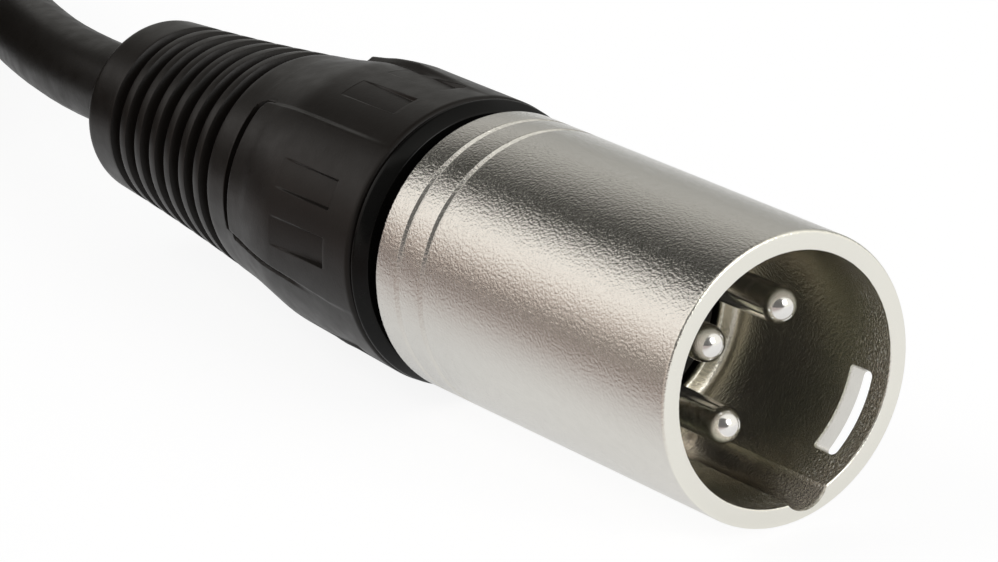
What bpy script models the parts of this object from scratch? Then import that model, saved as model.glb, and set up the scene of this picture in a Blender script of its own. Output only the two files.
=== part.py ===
"""A three-pole microphone cable: a male connector, 3 m of round cable and a female connector.

Everything is in metres with +Z up. The male connector lies along X with its mating face towards +X,
and the origin is on the floor under its middle. Each connector is drawn in its own frame, in which
the mating face is at zero and the body runs away behind it. Angles round a connector are counted
from +Y towards +Z, as seen from the front.
"""

import math

import bmesh
import bpy
import numpy as np
from mathutils import Matrix, Vector

# Clearances between pieces.
GAP = 0.0003
SLIDE_GAP = 0.0005

# Shells that both connectors share.
SHELL_R = 0.0095
SHELL_EDGE = 0.0004
REAR_WALL = 0.0015
GROOVE_WIDTH = 0.0004
GROOVE_DEPTH = 0.0002
GROOVE_FROM_REAR = (0.0051, 0.0025)

# Male shell.
MALE_SHELL_LEN = 0.0305
MALE_WALL = 0.0013
MALE_BORE_DEPTH = 0.0150
MALE_COLLAR_STEP = 0.00145
MALE_COLLAR_LEN = 0.0020
MALE_BORE_FILLET = 0.0007
WINDOW_ANGLE = -31.5
WINDOW_WIDTH = 0.0057
WINDOW_LENGTH = 0.00215
WINDOW_BEHIND = 0.0015
WINDOW_CORNER = 0.00035
KEY_FROM_LATCH = 45.5
KEYWAY_R = 0.00165
KEYWAY_DEPTH = 0.0007
KEYWAY_LENGTH = 0.0130

# Contacts and their places.
PIN_ROOM = 0.00415
PIN_R = 0.0012
PIN_TIP_BEHIND = 0.00245
CUP_R = 0.0013
CUP_BORE_R = 0.0009
CUP_LEN = 0.0050
CUP_DEPTH = 0.0034
CUP_OPEN = 0.0026
SOCKET_R = 0.0016
SOCKET_BORE_R = 0.00125
SOCKET_DEPTH = 0.0120
SOCKET_SLIT = 0.0004
SOCKET_SLIT_LEN = 0.0080

# Inserts.
INSERT_SET_BACK = 0.0004
INSERT_FLANGE_LEN = 0.0020
INSERT_REAR_STEP = 0.0018
MALE_INSERT_REAR = 0.0030
FEMALE_INSERT_REAR = 0.0050

# Female shell, its nose and its latch.
FEMALE_SHELL_LEN = 0.0410
NOSE_PLAY = 0.00025
NOSE_LEN = 0.0152
NOSE_WALL = 0.00105
NOSE_EDGE = 0.0004
KEY_WIDTH = 0.0022
KEY_PROUD = 0.00065
KEY_LEN = 0.0110
FEMALE_WALL = 0.0012
LATCH_ANGLE = 90.0
LATCH_FRONT = 0.0018
LATCH_ARM_WIDTH = 0.0050
LATCH_ARM_SUNK = 0.0006
LATCH_ARM_THICK = 0.0008
HOOK_LEN = 0.0014
HOOK_CATCH = 0.0007
BUTTON_FRONT = 0.0172
BUTTON_LEN = 0.0078
BUTTON_WIDTH = 0.0080
BUTTON_PROUD = 0.0007
BUTTON_EDGE = 0.0005
BUTTON_RIDGES = 3
BUTTON_RIDGE_DEPTH = 0.0004
LATCH_PIVOT = 0.0285
LATCH_PIN_R = 0.0005
LATCH_PIN_DROP = 0.00025
LATCH_EYE_WALL = 0.0004
LATCH_TRAVEL = 0.0013
EAR_THICK = 0.0016
EAR_LEN = 0.0034
SPRING_R = 0.0011
SPRING_WIRE_R = 0.00018
SPRING_TURNS = 5
SPRING_LEN = 0.0042

# Ground contact: a bent leaf between the insert and the shell.
LEAF_THICK = 0.0003
LEAF_WIDTH = 0.0030

# Cable and its wires.
CABLE_R = 0.0030
WIRE_R = 0.0006
DRAIN_R = 0.0004
WIRE_RING_R = 0.0014
JACKET_INSIDE = 0.0294

# Gland nut: a flange that shows, a neck in the shell and a sleeve in the boot.
GLAND_GAP = 0.0014
FLANGE_LEN = 0.0010
FLANGE_TUCK = 0.00008
FLANGE_CHAMFER = 0.00062
NECK_FROM_INSERT = 0.0006
NECK_FROM_EARS = 0.0032
NECK_WALL = 0.0011
SLEEVE_LEN = 0.0186
SLEEVE_FRONT_STEP = 0.0005
SLEEVE_WALL = 0.00135
CONE_START = 0.0041
CONE_ROOM = 0.00195

# Chuck: a slotted collet that grips the cable.
CHUCK_WALL = 0.0006
CHUCK_HEAD_LEN = 0.0104
CHUCK_JAW_LEN = 0.0150
CHUCK_SLOTS = 4
CHUCK_SLOT = 0.0009

# Boot: ribs at the rear, a flare, then grip pads and pockets.
BOOT_LEN = 0.0382
BOOT_PROUD = 0.0003
BOOT_EDGE = 0.0003
BOOT_REAR_EDGE = 0.0008
BOOT_SHOULDER = 0.0118
BOOT_SHOULDER_DROP = 0.00052
BOOT_NECK = 0.0168
BOOT_NECK_DROP = 0.00142
BOOT_REAR_WALL = 0.0030
BOOT_BOW = 0.00016
RIB_FIRST = 0.0202
RIB_PITCH = 0.00223
RIB_GROOVES = 7
RIB_GROOVE_WIDTH = 0.0011
RIB_GROOVE_DEPTH = 0.0013
PAD_COUNT = 3
PAD_ANGLE = 163.5
PAD_SPAN = 71.0
PAD_FRONT = 0.0022
PAD_CREST = 0.0098
PAD_SLOPE = 0.0025
PAD_SLOPE_DROP = 0.00037
PAD_END = 0.0159
PAD_END_STEP = 0.0002
PAD_GROOVE = 0.0005
PAD_GROOVE_DEPTH = 0.0003
PAD_GROOVE_SPAN = 65.0
POCKET_FRONT = 0.0030
POCKET_LEN = 0.0063
POCKET_SPAN = 12.8
POCKET_DEPTH = 0.00042
PAD_POCKETS = (155.3, 178.5, 35.3, 58.5, 275.3, 298.5)
VALLEY_POCKETS = (85.5, 108.7, 228.7, 348.7)

# The lie of the cable on the floor, in the frame of the whole part.
COIL_CENTRE = (-0.1183, -0.0245)
COIL_INNER_TURN = 0.0265
COIL_LOW_COLUMNS = 4
COIL_HIGH_COLUMNS = 3
COIL_ROWS = 4
COIL_LIFT = 0.0014
COIL_EDGE = 0.0016
TIE_ANGLE = 330.0
TIE_SPAN = 19.0
TIE_THICK = 0.0011
FEMALE_BOOT_END = (-0.0689, -0.0622)
LEAD_ROUTE = (
    (-0.0483, 0.0010, 0.0093),
    (-0.0593, 0.0040, 0.0084),
    (-0.0723, 0.0090, 0.0069),
    (-0.0863, 0.0145, 0.0054),
    (-0.1023, 0.0188, 0.0046),
)
TAIL_RESTS_FROM = 240.0
TAIL_LEAVES = 280.0
TAIL_ROUTE = (
    (-0.1000, -0.0665, 0.0107),
    (-0.0890, -0.0643, 0.0105),
    (-0.0790, -0.0628, 0.0100),
)

# Facets round each turned piece.
SHELL_STEPS = 36
BOOT_STEPS = 30
NUT_STEPS = 24
INNER_STEPS = 18
SMALL_STEPS = 12
COIL_STEPS = 36

# Sizes that follow from the ones above.
MALE_BORE_R = SHELL_R - MALE_WALL
MALE_COLLAR_R = MALE_BORE_R - MALE_COLLAR_STEP
PITCH_R = MALE_BORE_R - PIN_ROOM
KEYWAY_REACH = MALE_BORE_R + KEYWAY_DEPTH
REAR_BORE_R = SHELL_R - REAR_WALL
INSERT_REAR_R = REAR_BORE_R - INSERT_REAR_STEP
NOSE_R = MALE_BORE_R - NOSE_PLAY
NOSE_BORE_R = NOSE_R - NOSE_WALL
KEY_R = NOSE_R + KEY_PROUD
FEMALE_BORE_R = SHELL_R - FEMALE_WALL
LATCH_ARM_TOP = NOSE_R - LATCH_ARM_SUNK
LATCH_ARM_BOTTOM = LATCH_ARM_TOP - LATCH_ARM_THICK
LATCH_EYE_R = LATCH_PIN_R + GAP + LATCH_EYE_WALL
LATCH_PIN_HEIGHT = LATCH_ARM_BOTTOM - LATCH_PIN_DROP
LATCH_RELIEF = LATCH_PIN_HEIGHT - LATCH_EYE_R - GAP
HOOK_TOP = MALE_BORE_R + HOOK_CATCH
BUTTON_TOP = SHELL_R + BUTTON_PROUD
BOOT_R = SHELL_R + BOOT_PROUD
BOOT_SHOULDER_R = BOOT_R - BOOT_SHOULDER_DROP
BOOT_NECK_R = BOOT_R - BOOT_NECK_DROP
BOOT_REAR_R = CABLE_R + GAP + BOOT_REAR_WALL
PAD_SLOPE_R = BOOT_R - PAD_SLOPE_DROP
POCKET_DEPTH_R = BOOT_R - POCKET_DEPTH
FLANGE_R = BOOT_R - FLANGE_TUCK
FLANGE_FACE_R = FLANGE_R - FLANGE_CHAMFER
NECK_R = REAR_BORE_R - GAP
NECK_BORE_R = NECK_R - NECK_WALL
CONE_REAR_R = CABLE_R + CONE_ROOM
SLEEVE_FRONT_R = NECK_R + SLEEVE_FRONT_STEP
SLEEVE_REAR_R = CONE_REAR_R + SLEEVE_WALL
PAD_PITCH = 360.0 / PAD_COUNT
FACET_TURN = 2 * math.pi / BOOT_STEPS
BACK_END_LEN = GLAND_GAP + FLANGE_LEN + GAP + BOOT_LEN
MALE_LEN = MALE_SHELL_LEN + BACK_END_LEN
FEMALE_LEN = FEMALE_SHELL_LEN + BACK_END_LEN
AXIS_HEIGHT = BOOT_R
MALE_FRONT_X = MALE_LEN / 2
COLUMN_PITCH = 2 * CABLE_R
COIL_TOP = COIL_LIFT + COIL_ROWS * COLUMN_PITCH
COIL_LOW_TURN = COIL_INNER_TURN + (COIL_LOW_COLUMNS - 1) * COLUMN_PITCH
COIL_HIGH_TURN = COIL_INNER_TURN + (COIL_HIGH_COLUMNS - 1) * COLUMN_PITCH
TAIL_TURN = COIL_HIGH_TURN + COLUMN_PITCH + GAP
TAIL_HEIGHT = COIL_LIFT + COLUMN_PITCH + GAP + CABLE_R

PARTS = "xlr_microphone_cable"
CUTTERS = "cutters"


def clear_scene():
    """Remove every object that the file starts with."""
    for item in list(bpy.data.objects):
        bpy.data.objects.remove(item, do_unlink=True)


def collection(name):
    """Return a collection linked to the scene, made if it isn't there yet."""
    found = bpy.data.collections.get(name)
    if found is None:
        found = bpy.data.collections.new(name)
        bpy.context.scene.collection.children.link(found)
    return found


def material(name, colour, roughness, metallic=0.0):
    """Return a Principled material of one colour."""
    made = bpy.data.materials.get(name)
    if made is None:
        made = bpy.data.materials.new(name)
        made.use_nodes = True
        shader = made.node_tree.nodes["Principled BSDF"]
        shader.inputs["Base Color"].default_value = (*colour, 1.0)
        shader.inputs["Roughness"].default_value = roughness
        shader.inputs["Metallic"].default_value = metallic
    return made


def nickel():
    return material("satin_nickel", (0.72, 0.69, 0.66), 0.34, 1.0)


def silver():
    return material("silver_contact", (0.86, 0.85, 0.83), 0.2, 1.0)


def black_plastic():
    return material("black_plastic", (0.02, 0.02, 0.02), 0.35)


def black_rubber():
    return material("black_boot", (0.035, 0.033, 0.031), 0.6)


def cable_jacket():
    return material("cable_jacket", (0.03, 0.028, 0.026), 0.55)


def spring_steel():
    return material("spring_steel", (0.6, 0.6, 0.6), 0.3, 1.0)


def wire_red():
    return material("wire_red", (0.45, 0.03, 0.03), 0.45)


def wire_white():
    return material("wire_white", (0.7, 0.7, 0.68), 0.45)


def copper():
    return material("tinned_copper", (0.75, 0.55, 0.42), 0.35, 1.0)


def strap_cloth():
    return material("strap_cloth", (0.04, 0.04, 0.045), 0.9)


def add_object(name, data, parent=None, dress=None, cutter=False):
    """Link an object under a parent, as a part or as a cutter."""
    made = bpy.data.objects.new(name, data)
    collection(CUTTERS if cutter else PARTS).objects.link(made)
    made.parent = parent
    if cutter:
        made.hide_render = True
        made.display_type = "WIRE"
    if dress is not None:
        made.data.materials.append(dress)
    return made


def connector_axis(name, front, height):
    """Return an empty at a mating face, whose Z points out of the face along X."""
    made = bpy.data.objects.new(name, None)
    collection(PARTS).objects.link(made)
    made.location = (front[0], front[1], height)
    made.rotation_euler = (0.0, math.radians(90), 0.0)
    return made


def around(angle, radius, behind):
    """A point in a connector's own frame from its angle, radius and distance behind the face."""
    turn = math.radians(angle + 90)
    return Vector((radius * math.cos(turn), radius * math.sin(turn), -behind))


def facing(angle, radius, behind, tilt=0.0):
    """A matrix whose X points outwards, Y runs round and Z runs to the front, at such a point."""
    spin = Matrix.Rotation(math.radians(angle + 90), 4, "Z")
    return Matrix.Translation(around(angle, radius, behind)) @ spin @ Matrix.Rotation(tilt, 4, "Y")


def arc(behind, radius, size, start, end, count=3):
    """Points of a round edge about a centre, with angles from outwards towards the rear."""
    turns = np.radians(np.linspace(start, end, count))
    return [(behind + size * math.sin(t), radius + size * math.cos(t)) for t in turns]


def turned(name, outline, steps, parent, dress=None, cutter=False, closed=True):
    """Turn an outline of (behind, radius) points about the connector's axis.

    The outline runs down the outer side from front to rear, and back up the inner side.
    """
    mesh = bpy.data.meshes.new(name)
    shape = bmesh.new()
    points = [shape.verts.new((radius, 0.0, -behind)) for behind, radius in outline]
    for first, second in zip(points, points[1:]):
        shape.edges.new((first, second))
    if closed:
        shape.edges.new((points[-1], points[0]))
    shape.to_mesh(mesh)
    shape.free()
    made = add_object(name, mesh, parent, dress, cutter)
    screw = made.modifiers.new("turn", "SCREW")
    screw.axis = "Z"
    screw.steps = steps
    screw.render_steps = steps
    screw.use_merge_vertices = True
    screw.merge_threshold = 0.000001
    screw.use_smooth_shade = True
    return made


def boxes(name, parent, places, dress=None, cutter=True, corner=0.0):
    """One object of separate boxes, each given by a matrix and a size."""
    mesh = bpy.data.meshes.new(name)
    shape = bmesh.new()
    for matrix, size in places:
        scale = Matrix.Diagonal((*size, 1.0))
        bmesh.ops.create_cube(shape, size=1.0, matrix=matrix @ scale)
    shape.to_mesh(mesh)
    shape.free()
    made = add_object(name, mesh, parent, dress, cutter)
    if corner > 0.0:
        edge = made.modifiers.new("corners", "BEVEL")
        edge.width = corner
        edge.segments = 2
        edge.limit_method = "NONE"
    return made


def rods(name, parent, places, radius, length, steps, dress=None, cutter=True):
    """One object of separate round rods, each centred on a matrix and lying along its Z."""
    mesh = bpy.data.meshes.new(name)
    shape = bmesh.new()
    for matrix in places:
        bmesh.ops.create_cone(
            shape,
            cap_ends=True,
            segments=steps,
            radius1=radius,
            radius2=radius,
            depth=length,
            matrix=matrix,
        )
    shape.to_mesh(mesh)
    shape.free()
    return add_object(name, mesh, parent, dress, cutter)


def combine(target, tool, operation="DIFFERENCE"):
    """Cut a tool from a part, join it on or keep what they share."""
    step = target.modifiers.new(tool.name, "BOOLEAN")
    step.object = tool
    step.operation = operation
    step.solver = "EXACT"


def sector(name, parent, angle, span, radius, near, far):
    """A wedge cutter that spans an angle round the axis, between two distances behind the face."""
    half = math.radians(span / 2)
    reach = radius / math.cos(half)
    middle = math.radians(angle + 90)
    shape = bmesh.new()
    corners = [(0.0, 0.0)]
    for turn in (middle - half, middle, middle + half):
        corners.append((reach * math.cos(turn), reach * math.sin(turn)))
    floor = [shape.verts.new((x, y, -far)) for x, y in corners]
    base = shape.faces.new(floor)
    top = bmesh.ops.extrude_face_region(shape, geom=[base])["geom"]
    lifted = [item for item in top if isinstance(item, bmesh.types.BMVert)]
    bmesh.ops.translate(shape, verts=lifted, vec=(0.0, 0.0, far - near))
    bmesh.ops.recalc_face_normals(shape, faces=shape.faces)
    mesh = bpy.data.meshes.new(name)
    shape.to_mesh(mesh)
    shape.free()
    return add_object(name, mesh, parent, cutter=True)


def smooth_route(points, spacing):
    """Points at an even spacing on a smooth curve through the given ones."""
    route = np.array(points, float)
    ends = [2 * route[0] - route[1]], [2 * route[-1] - route[-2]]
    route = np.vstack((ends[0], route, ends[1]))
    dense = []
    for p0, p1, p2, p3 in zip(route, route[1:], route[2:], route[3:]):
        for t in np.linspace(0.0, 1.0, 24, endpoint=False):
            bend = (2 * p1, (p2 - p0) * t, (2 * p0 - 5 * p1 + 4 * p2 - p3) * t**2)
            dense.append((sum(bend) + (3 * p1 - p0 - 3 * p2 + p3) * t**3) / 2)
    dense.append(route[-2])
    dense = np.array(dense)
    steps = np.linalg.norm(np.diff(dense, axis=0), axis=1)
    along = np.concatenate(([0.0], np.cumsum(steps)))
    count = max(2, int(round(along[-1] / spacing)) + 1)
    wanted = np.linspace(0.0, along[-1], count)
    return np.stack([np.interp(wanted, along, dense[:, axis]) for axis in range(3)], axis=1)


def tube(name, points, radius, parent, dress, resolution):
    """A round tube with filled caps along given points."""
    data = bpy.data.curves.new(name, "CURVE")
    data.dimensions = "3D"
    data.bevel_depth = radius
    data.bevel_resolution = resolution
    data.use_fill_caps = True
    line = data.splines.new("POLY")
    line.points.add(len(points) - 1)
    for knot, place in zip(line.points, points):
        knot.co = (*place, 1.0)
    return add_object(name, data, parent, dress)


def shell_rear(length):
    """The outer end of a shell, with its two fine grooves, and the open bore behind the insert."""
    outline = []
    for offset in GROOVE_FROM_REAR:
        middle = length - offset
        outline.append((middle - GROOVE_WIDTH / 2, SHELL_R))
        outline.append((middle, SHELL_R - GROOVE_DEPTH))
        outline.append((middle + GROOVE_WIDTH / 2, SHELL_R))
    outline.append((length - SHELL_EDGE / 2, SHELL_R))
    outline.append((length, SHELL_R - SHELL_EDGE / 2))
    outline.append((length, REAR_BORE_R))
    return outline


def male_shell(axis):
    """The die-cast tube with its deep mouth, latch window, keyway and inner collar."""
    collar_back = MALE_BORE_DEPTH + MALE_COLLAR_LEN
    fillet = MALE_BORE_FILLET
    outline = arc(SHELL_EDGE, SHELL_R - SHELL_EDGE, SHELL_EDGE, -90, 0)
    outline += shell_rear(MALE_SHELL_LEN)
    outline += [(collar_back, REAR_BORE_R), (collar_back, MALE_COLLAR_R)]
    outline += [(MALE_BORE_DEPTH + GAP, MALE_COLLAR_R), (MALE_BORE_DEPTH, MALE_COLLAR_R + GAP)]
    outline += arc(MALE_BORE_DEPTH - fillet, MALE_BORE_R - fillet, fillet, 90, 0)
    outline += [(SHELL_EDGE / 2, MALE_BORE_R), (0.0, MALE_BORE_R + SHELL_EDGE / 2)]
    shell = turned("male_shell", outline, SHELL_STEPS, axis, nickel())
    middle = WINDOW_BEHIND + WINDOW_LENGTH / 2
    hole = facing(WINDOW_ANGLE, (MALE_BORE_R + SHELL_R) / 2, middle)
    depth = 2 * (SHELL_R - MALE_BORE_R) + 2 * WINDOW_CORNER
    size = (depth, WINDOW_WIDTH, WINDOW_LENGTH)
    combine(shell, boxes("window_cutter", axis, [(hole, size)], corner=WINDOW_CORNER))
    angle = WINDOW_ANGLE - KEY_FROM_LATCH
    overrun = SHELL_EDGE
    length = KEYWAY_LENGTH + overrun
    place = around(angle, KEYWAY_REACH - KEYWAY_R, length / 2 - overrun)
    groove = rods(
        "keyway_cutter", axis, [Matrix.Translation(place)], KEYWAY_R, length, SMALL_STEPS
    )
    combine(shell, groove)
    return shell


def contact_places(latch, side):
    """Angles of contacts 1, 2 and 3 from the latch's angle, counted to one side."""
    return (latch + side * 90, latch - side * 90, latch + 180)


def insert(name, axis, front, collar, rear_len, front_r, flange_r, angles, bore_r):
    """The moulded disc that holds the contacts: a boss in the collar, a flange and a rear boss."""
    flange = collar + GAP
    outline = [(front, 0.0), (front, front_r), (flange, front_r), (flange, flange_r)]
    flange_back = flange + INSERT_FLANGE_LEN
    rear = flange_back + rear_len
    outline += [(flange_back, flange_r), (flange_back, INSERT_REAR_R)]
    outline += [(rear, INSERT_REAR_R), (rear, 0.0)]
    made = turned(name, outline, INNER_STEPS, axis, black_plastic(), closed=False)
    length = rear - front + 2 * GAP
    middle = (front + rear) / 2
    holes = [Matrix.Translation(around(angle, PITCH_R, middle)) for angle in angles]
    combine(made, rods(name + "_holes", axis, holes, bore_r, length, SMALL_STEPS))
    return made, rear


def solder_cup(rear, body_r):
    """The rear of a contact: a wider cup, drilled to take a wire."""
    end = rear + CUP_LEN
    outline = [(rear + GAP, body_r), (rear + GAP, CUP_R), (end, CUP_R), (end, CUP_BORE_R)]
    outline += [(end - CUP_DEPTH, CUP_BORE_R), (end - CUP_DEPTH, 0.0)]
    return outline


def open_cup(contact, axis, angle, rear):
    """Cut away the outer half of a solder cup."""
    length = CUP_OPEN + GAP
    middle = rear + CUP_LEN - CUP_OPEN + length / 2
    place = facing(angle, PITCH_R + CUP_R / 2 + GAP, middle)
    cutter = boxes(contact.name + "_cup_cutter", axis, [(place, (CUP_R, 3 * CUP_R, length))])
    combine(contact, cutter)


def pin(index, axis, angle, rear):
    """A solid pin with a round tip and an open solder cup."""
    tip = arc(PIN_TIP_BEHIND + PIN_R, 0.0, PIN_R, -90, 0, 4)
    outline = tip + solder_cup(rear, PIN_R)
    made = turned(f"pin_{index}", outline, SMALL_STEPS, axis, silver(), closed=False)
    made.location = around(angle, PITCH_R, 0.0)
    open_cup(made, axis, angle, rear)
    return made


def socket(index, axis, angle, front, rear):
    """A hollow contact, slit at its mouth so that it grips a pin."""
    mouth = front + GAP
    lip = SOCKET_R - SOCKET_BORE_R
    outline = [(mouth, SOCKET_R - lip / 2), (mouth + lip / 2, SOCKET_R), (rear - GAP, SOCKET_R)]
    outline += [(rear - GAP, PIN_R)] + solder_cup(rear, PIN_R)
    outline += [(front + SOCKET_DEPTH, 0.0), (front + SOCKET_DEPTH, SOCKET_BORE_R)]
    outline += [(mouth, SOCKET_BORE_R)]
    made = turned(f"socket_{index}", outline, SMALL_STEPS, axis, silver())
    made.location = around(angle, PITCH_R, 0.0)
    slit_middle = mouth + SOCKET_SLIT_LEN / 2 - GAP
    place = facing(angle, PITCH_R, slit_middle)
    size = (SOCKET_SLIT, 3 * SOCKET_R, SOCKET_SLIT_LEN)
    combine(made, boxes(made.name + "_slit_cutter", axis, [(place, size)]))
    open_cup(made, axis, angle, rear)
    return made


def ground_spring(name, axis, angle, insert_rear, boss_len):
    """A bent leaf that carries the shell's earth from the insert's rear boss."""
    low = INSERT_REAR_R + GAP + LEAF_THICK / 2
    high = REAR_BORE_R - GAP - LEAF_THICK / 2
    start = insert_rear - boss_len + GAP + LEAF_THICK / 2
    end = insert_rear - LEAF_THICK
    middle = (start + end) / 2
    line = [(start, low), (middle - LEAF_THICK, high), (middle + LEAF_THICK, high), (end, low)]
    data = bpy.data.curves.new(name, "CURVE")
    data.dimensions = "2D"
    data.fill_mode = "BOTH"
    data.extrude = LEAF_WIDTH / 2
    spline = data.splines.new("POLY")
    rim = [(b, r + LEAF_THICK / 2) for b, r in line] + [(b, r - LEAF_THICK / 2) for b, r in line[::-1]]
    spline.points.add(len(rim) - 1)
    for knot, (behind, radius) in zip(spline.points, rim):
        knot.co = (radius, -behind, 0.0, 1.0)
    spline.use_cyclic_u = True
    made = add_object(name, data, axis, spring_steel())
    stand = Matrix(((1, 0, 0, 0), (0, 0, -1, 0), (0, 1, 0, 0), (0, 0, 0, 1)))
    made.matrix_local = Matrix.Rotation(math.radians(angle + 90), 4, "Z") @ stand
    return made


def cone_radius(start, end, first, last, behind):
    """Radius on a straight cone between two places."""
    return first + (last - first) * (behind - start) / (end - start)


def gland_nut(name, axis, shell_len, neck_front):
    """The flange that shows, its neck inside the shell and its tapered sleeve in the boot."""
    face = shell_len + GLAND_GAP
    back = face + FLANGE_LEN
    end = back + SLEEVE_LEN
    outline = [(neck_front, NECK_R - GAP), (neck_front + GAP, NECK_R), (face, NECK_R)]
    outline += [(face, FLANGE_FACE_R), (back - GAP / 2, FLANGE_R), (back, FLANGE_R)]
    outline += [(back, SLEEVE_FRONT_R), (back + SLEEVE_LEN / 2, SLEEVE_FRONT_R - GAP)]
    outline += [(end, SLEEVE_REAR_R), (end, CONE_REAR_R), (face + CONE_START, NECK_BORE_R)]
    outline += [(neck_front, NECK_BORE_R)]
    return turned(name, outline, NUT_STEPS, axis, black_plastic())


def chuck(name, axis, shell_len, insert_rear):
    """A collet with a plain head against the insert and four jaws in the gland nut's cone."""
    face = shell_len + GLAND_GAP
    front = insert_rear + GAP
    outer = NECK_BORE_R - GAP
    cone_start = face + CONE_START
    sleeve_end = face + FLANGE_LEN + SLEEVE_LEN
    jaw_end = cone_start + CHUCK_JAW_LEN - GAP
    jaw_r = cone_radius(cone_start, sleeve_end, outer, CONE_REAR_R - GAP, jaw_end)
    bore = outer - CHUCK_WALL
    head_end = front + CHUCK_HEAD_LEN
    grip = face + FLANGE_LEN + GAP + BOOT_LEN - JACKET_INSIDE - GAP
    outline = [(front, outer), (cone_start - GAP, outer), (jaw_end, jaw_r)]
    outline += [(jaw_end, CABLE_R + GAP), (grip, CABLE_R + GAP), (head_end, bore), (front, bore)]
    made = turned(name, outline, INNER_STEPS, axis, black_plastic())
    slot_len = jaw_end - cone_start + GAP
    middle = jaw_end + GAP - slot_len / 2
    for index in range(CHUCK_SLOTS // 2):
        through = facing(45 + index * 360 / CHUCK_SLOTS, 0.0, middle)
        size = (4 * outer, CHUCK_SLOT, slot_len)
        combine(made, boxes(f"{name}_slot_cutter_{index}", axis, [(through, size)]))
    return made


def boot_radius(along):
    """Radius of the boot's plain surface at a distance from its front edge."""
    if along <= BOOT_SHOULDER:
        share = along / BOOT_SHOULDER
        return BOOT_R + (BOOT_SHOULDER_R - BOOT_R) * share
    if along <= BOOT_NECK:
        share = (along - BOOT_SHOULDER) / (BOOT_NECK - BOOT_SHOULDER)
        return BOOT_SHOULDER_R + (BOOT_NECK_R - BOOT_SHOULDER_R) * share
    share = (along - BOOT_NECK) / (BOOT_LEN - BOOT_NECK)
    return BOOT_NECK_R + (BOOT_REAR_R - BOOT_NECK_R) * share - BOOT_BOW * 4 * share * (1 - share)


def boot_outline(front):
    """The boot in section: plain front, flare, flex ribs, and the bore for sleeve and cable."""
    outline = [(front, BOOT_R - BOOT_EDGE), (front + BOOT_EDGE, BOOT_R)]
    for along in (BOOT_SHOULDER, BOOT_NECK):
        outline.append((front + along, boot_radius(along)))
    for index in range(RIB_GROOVES):
        middle = RIB_FIRST + index * RIB_PITCH
        near = middle - RIB_GROOVE_WIDTH / 2
        far = middle + RIB_GROOVE_WIDTH / 2
        floor = boot_radius(middle) - RIB_GROOVE_DEPTH
        floor_half = RIB_GROOVE_WIDTH / 4
        outline.append((front + near, boot_radius(near)))
        outline.append((front + middle - floor_half, floor))
        outline.append((front + middle + floor_half, floor))
        outline.append((front + far, boot_radius(far)))
    edge = BOOT_REAR_EDGE
    outline += arc(front + BOOT_LEN - edge, boot_radius(BOOT_LEN) - edge, edge, 0, 90)
    sleeve_end = front + SLEEVE_LEN
    outline += [(front + BOOT_LEN, CABLE_R + GAP), (sleeve_end, CABLE_R + GAP)]
    outline += [(sleeve_end, SLEEVE_REAR_R + GAP)]
    outline += [(front + SLEEVE_LEN / 2, SLEEVE_FRONT_R), (front, SLEEVE_FRONT_R + GAP)]
    return outline


def pad_wedge(name, axis, front, angle, span):
    """The part of a boot's length and turn that one grip pad or its groove may take."""
    near = front + PAD_FRONT - GAP
    far = front + PAD_END + PAD_GROOVE
    return sector(name + "_wedge", axis, angle, span, 2 * BOOT_R, near, far)


def pad_blank(name, axis, front, angle):
    """One grip pad: a turned ring that stands proud of the boot, kept within the pad's angle."""
    half_wall = (BOOT_R - SLEEVE_FRONT_R) / 2
    crest = front + PAD_CREST
    rear = front + PAD_END
    outline = [(front + PAD_FRONT, BOOT_R), (crest, BOOT_R), (crest + PAD_SLOPE, PAD_SLOPE_R)]
    outline += [(rear, boot_radius(PAD_END) + PAD_END_STEP)]
    outline += [(rear, boot_radius(PAD_END) - half_wall), (front + PAD_FRONT, BOOT_R - half_wall)]
    blank = turned(name, outline, BOOT_STEPS, axis, cutter=True)
    blank.rotation_euler.z = FACET_TURN / 3
    combine(blank, pad_wedge(name, axis, front, angle, PAD_SPAN), "INTERSECT")
    return blank


def rear_groove(name, axis, front, angle):
    """The fine groove that ends a grip pad at the back."""
    near = front + PAD_END - PAD_GROOVE / 3
    far = near + PAD_GROOVE
    floor = boot_radius(PAD_END) - PAD_GROOVE_DEPTH
    outline = [(near, BOOT_R), (far, BOOT_R), (far, floor), (near, floor)]
    ring = turned(name, outline, BOOT_STEPS, axis, cutter=True)
    ring.rotation_euler.z = FACET_TURN * 2 / 3
    combine(ring, pad_wedge(name, axis, front, angle, PAD_GROOVE_SPAN), "INTERSECT")
    return ring


def pocket_boxes(front):
    """Places and sizes of the sunk pockets, whose floors run out towards the rear."""
    rear = POCKET_FRONT + POCKET_LEN
    width = 2 * BOOT_R * math.sin(math.radians(POCKET_SPAN / 2))
    height = BOOT_R - POCKET_DEPTH_R + SLIDE_GAP
    places = []
    for angles, rear_r in ((PAD_POCKETS, BOOT_R), (VALLEY_POCKETS, POCKET_DEPTH_R)):
        tilt = math.atan2(rear_r - POCKET_DEPTH_R, POCKET_LEN)
        for angle in angles:
            middle_r = (POCKET_DEPTH_R + rear_r) / 2
            corner = facing(angle, middle_r, front + (POCKET_FRONT + rear) / 2, -tilt)
            matrix = corner @ Matrix.Translation((height / 2, 0.0, 0.0))
            places.append((matrix, (height, width, POCKET_LEN)))
    return places


def flex_boot(name, axis, shell_len):
    """The soft boot with its ribs, pads and pockets."""
    front = shell_len + GLAND_GAP + FLANGE_LEN + GAP
    boot = turned(name, boot_outline(front), BOOT_STEPS, axis, black_rubber())
    for index in range(PAD_COUNT):
        angle = PAD_ANGLE + index * PAD_PITCH
        combine(boot, pad_blank(f"{name}_pad_{index}", axis, front, angle), "UNION")
        combine(boot, rear_groove(f"{name}_pad_groove_{index}", axis, front, angle))
    combine(boot, boxes(name + "_pocket_cutter", axis, pocket_boxes(front)))
    return boot


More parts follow.
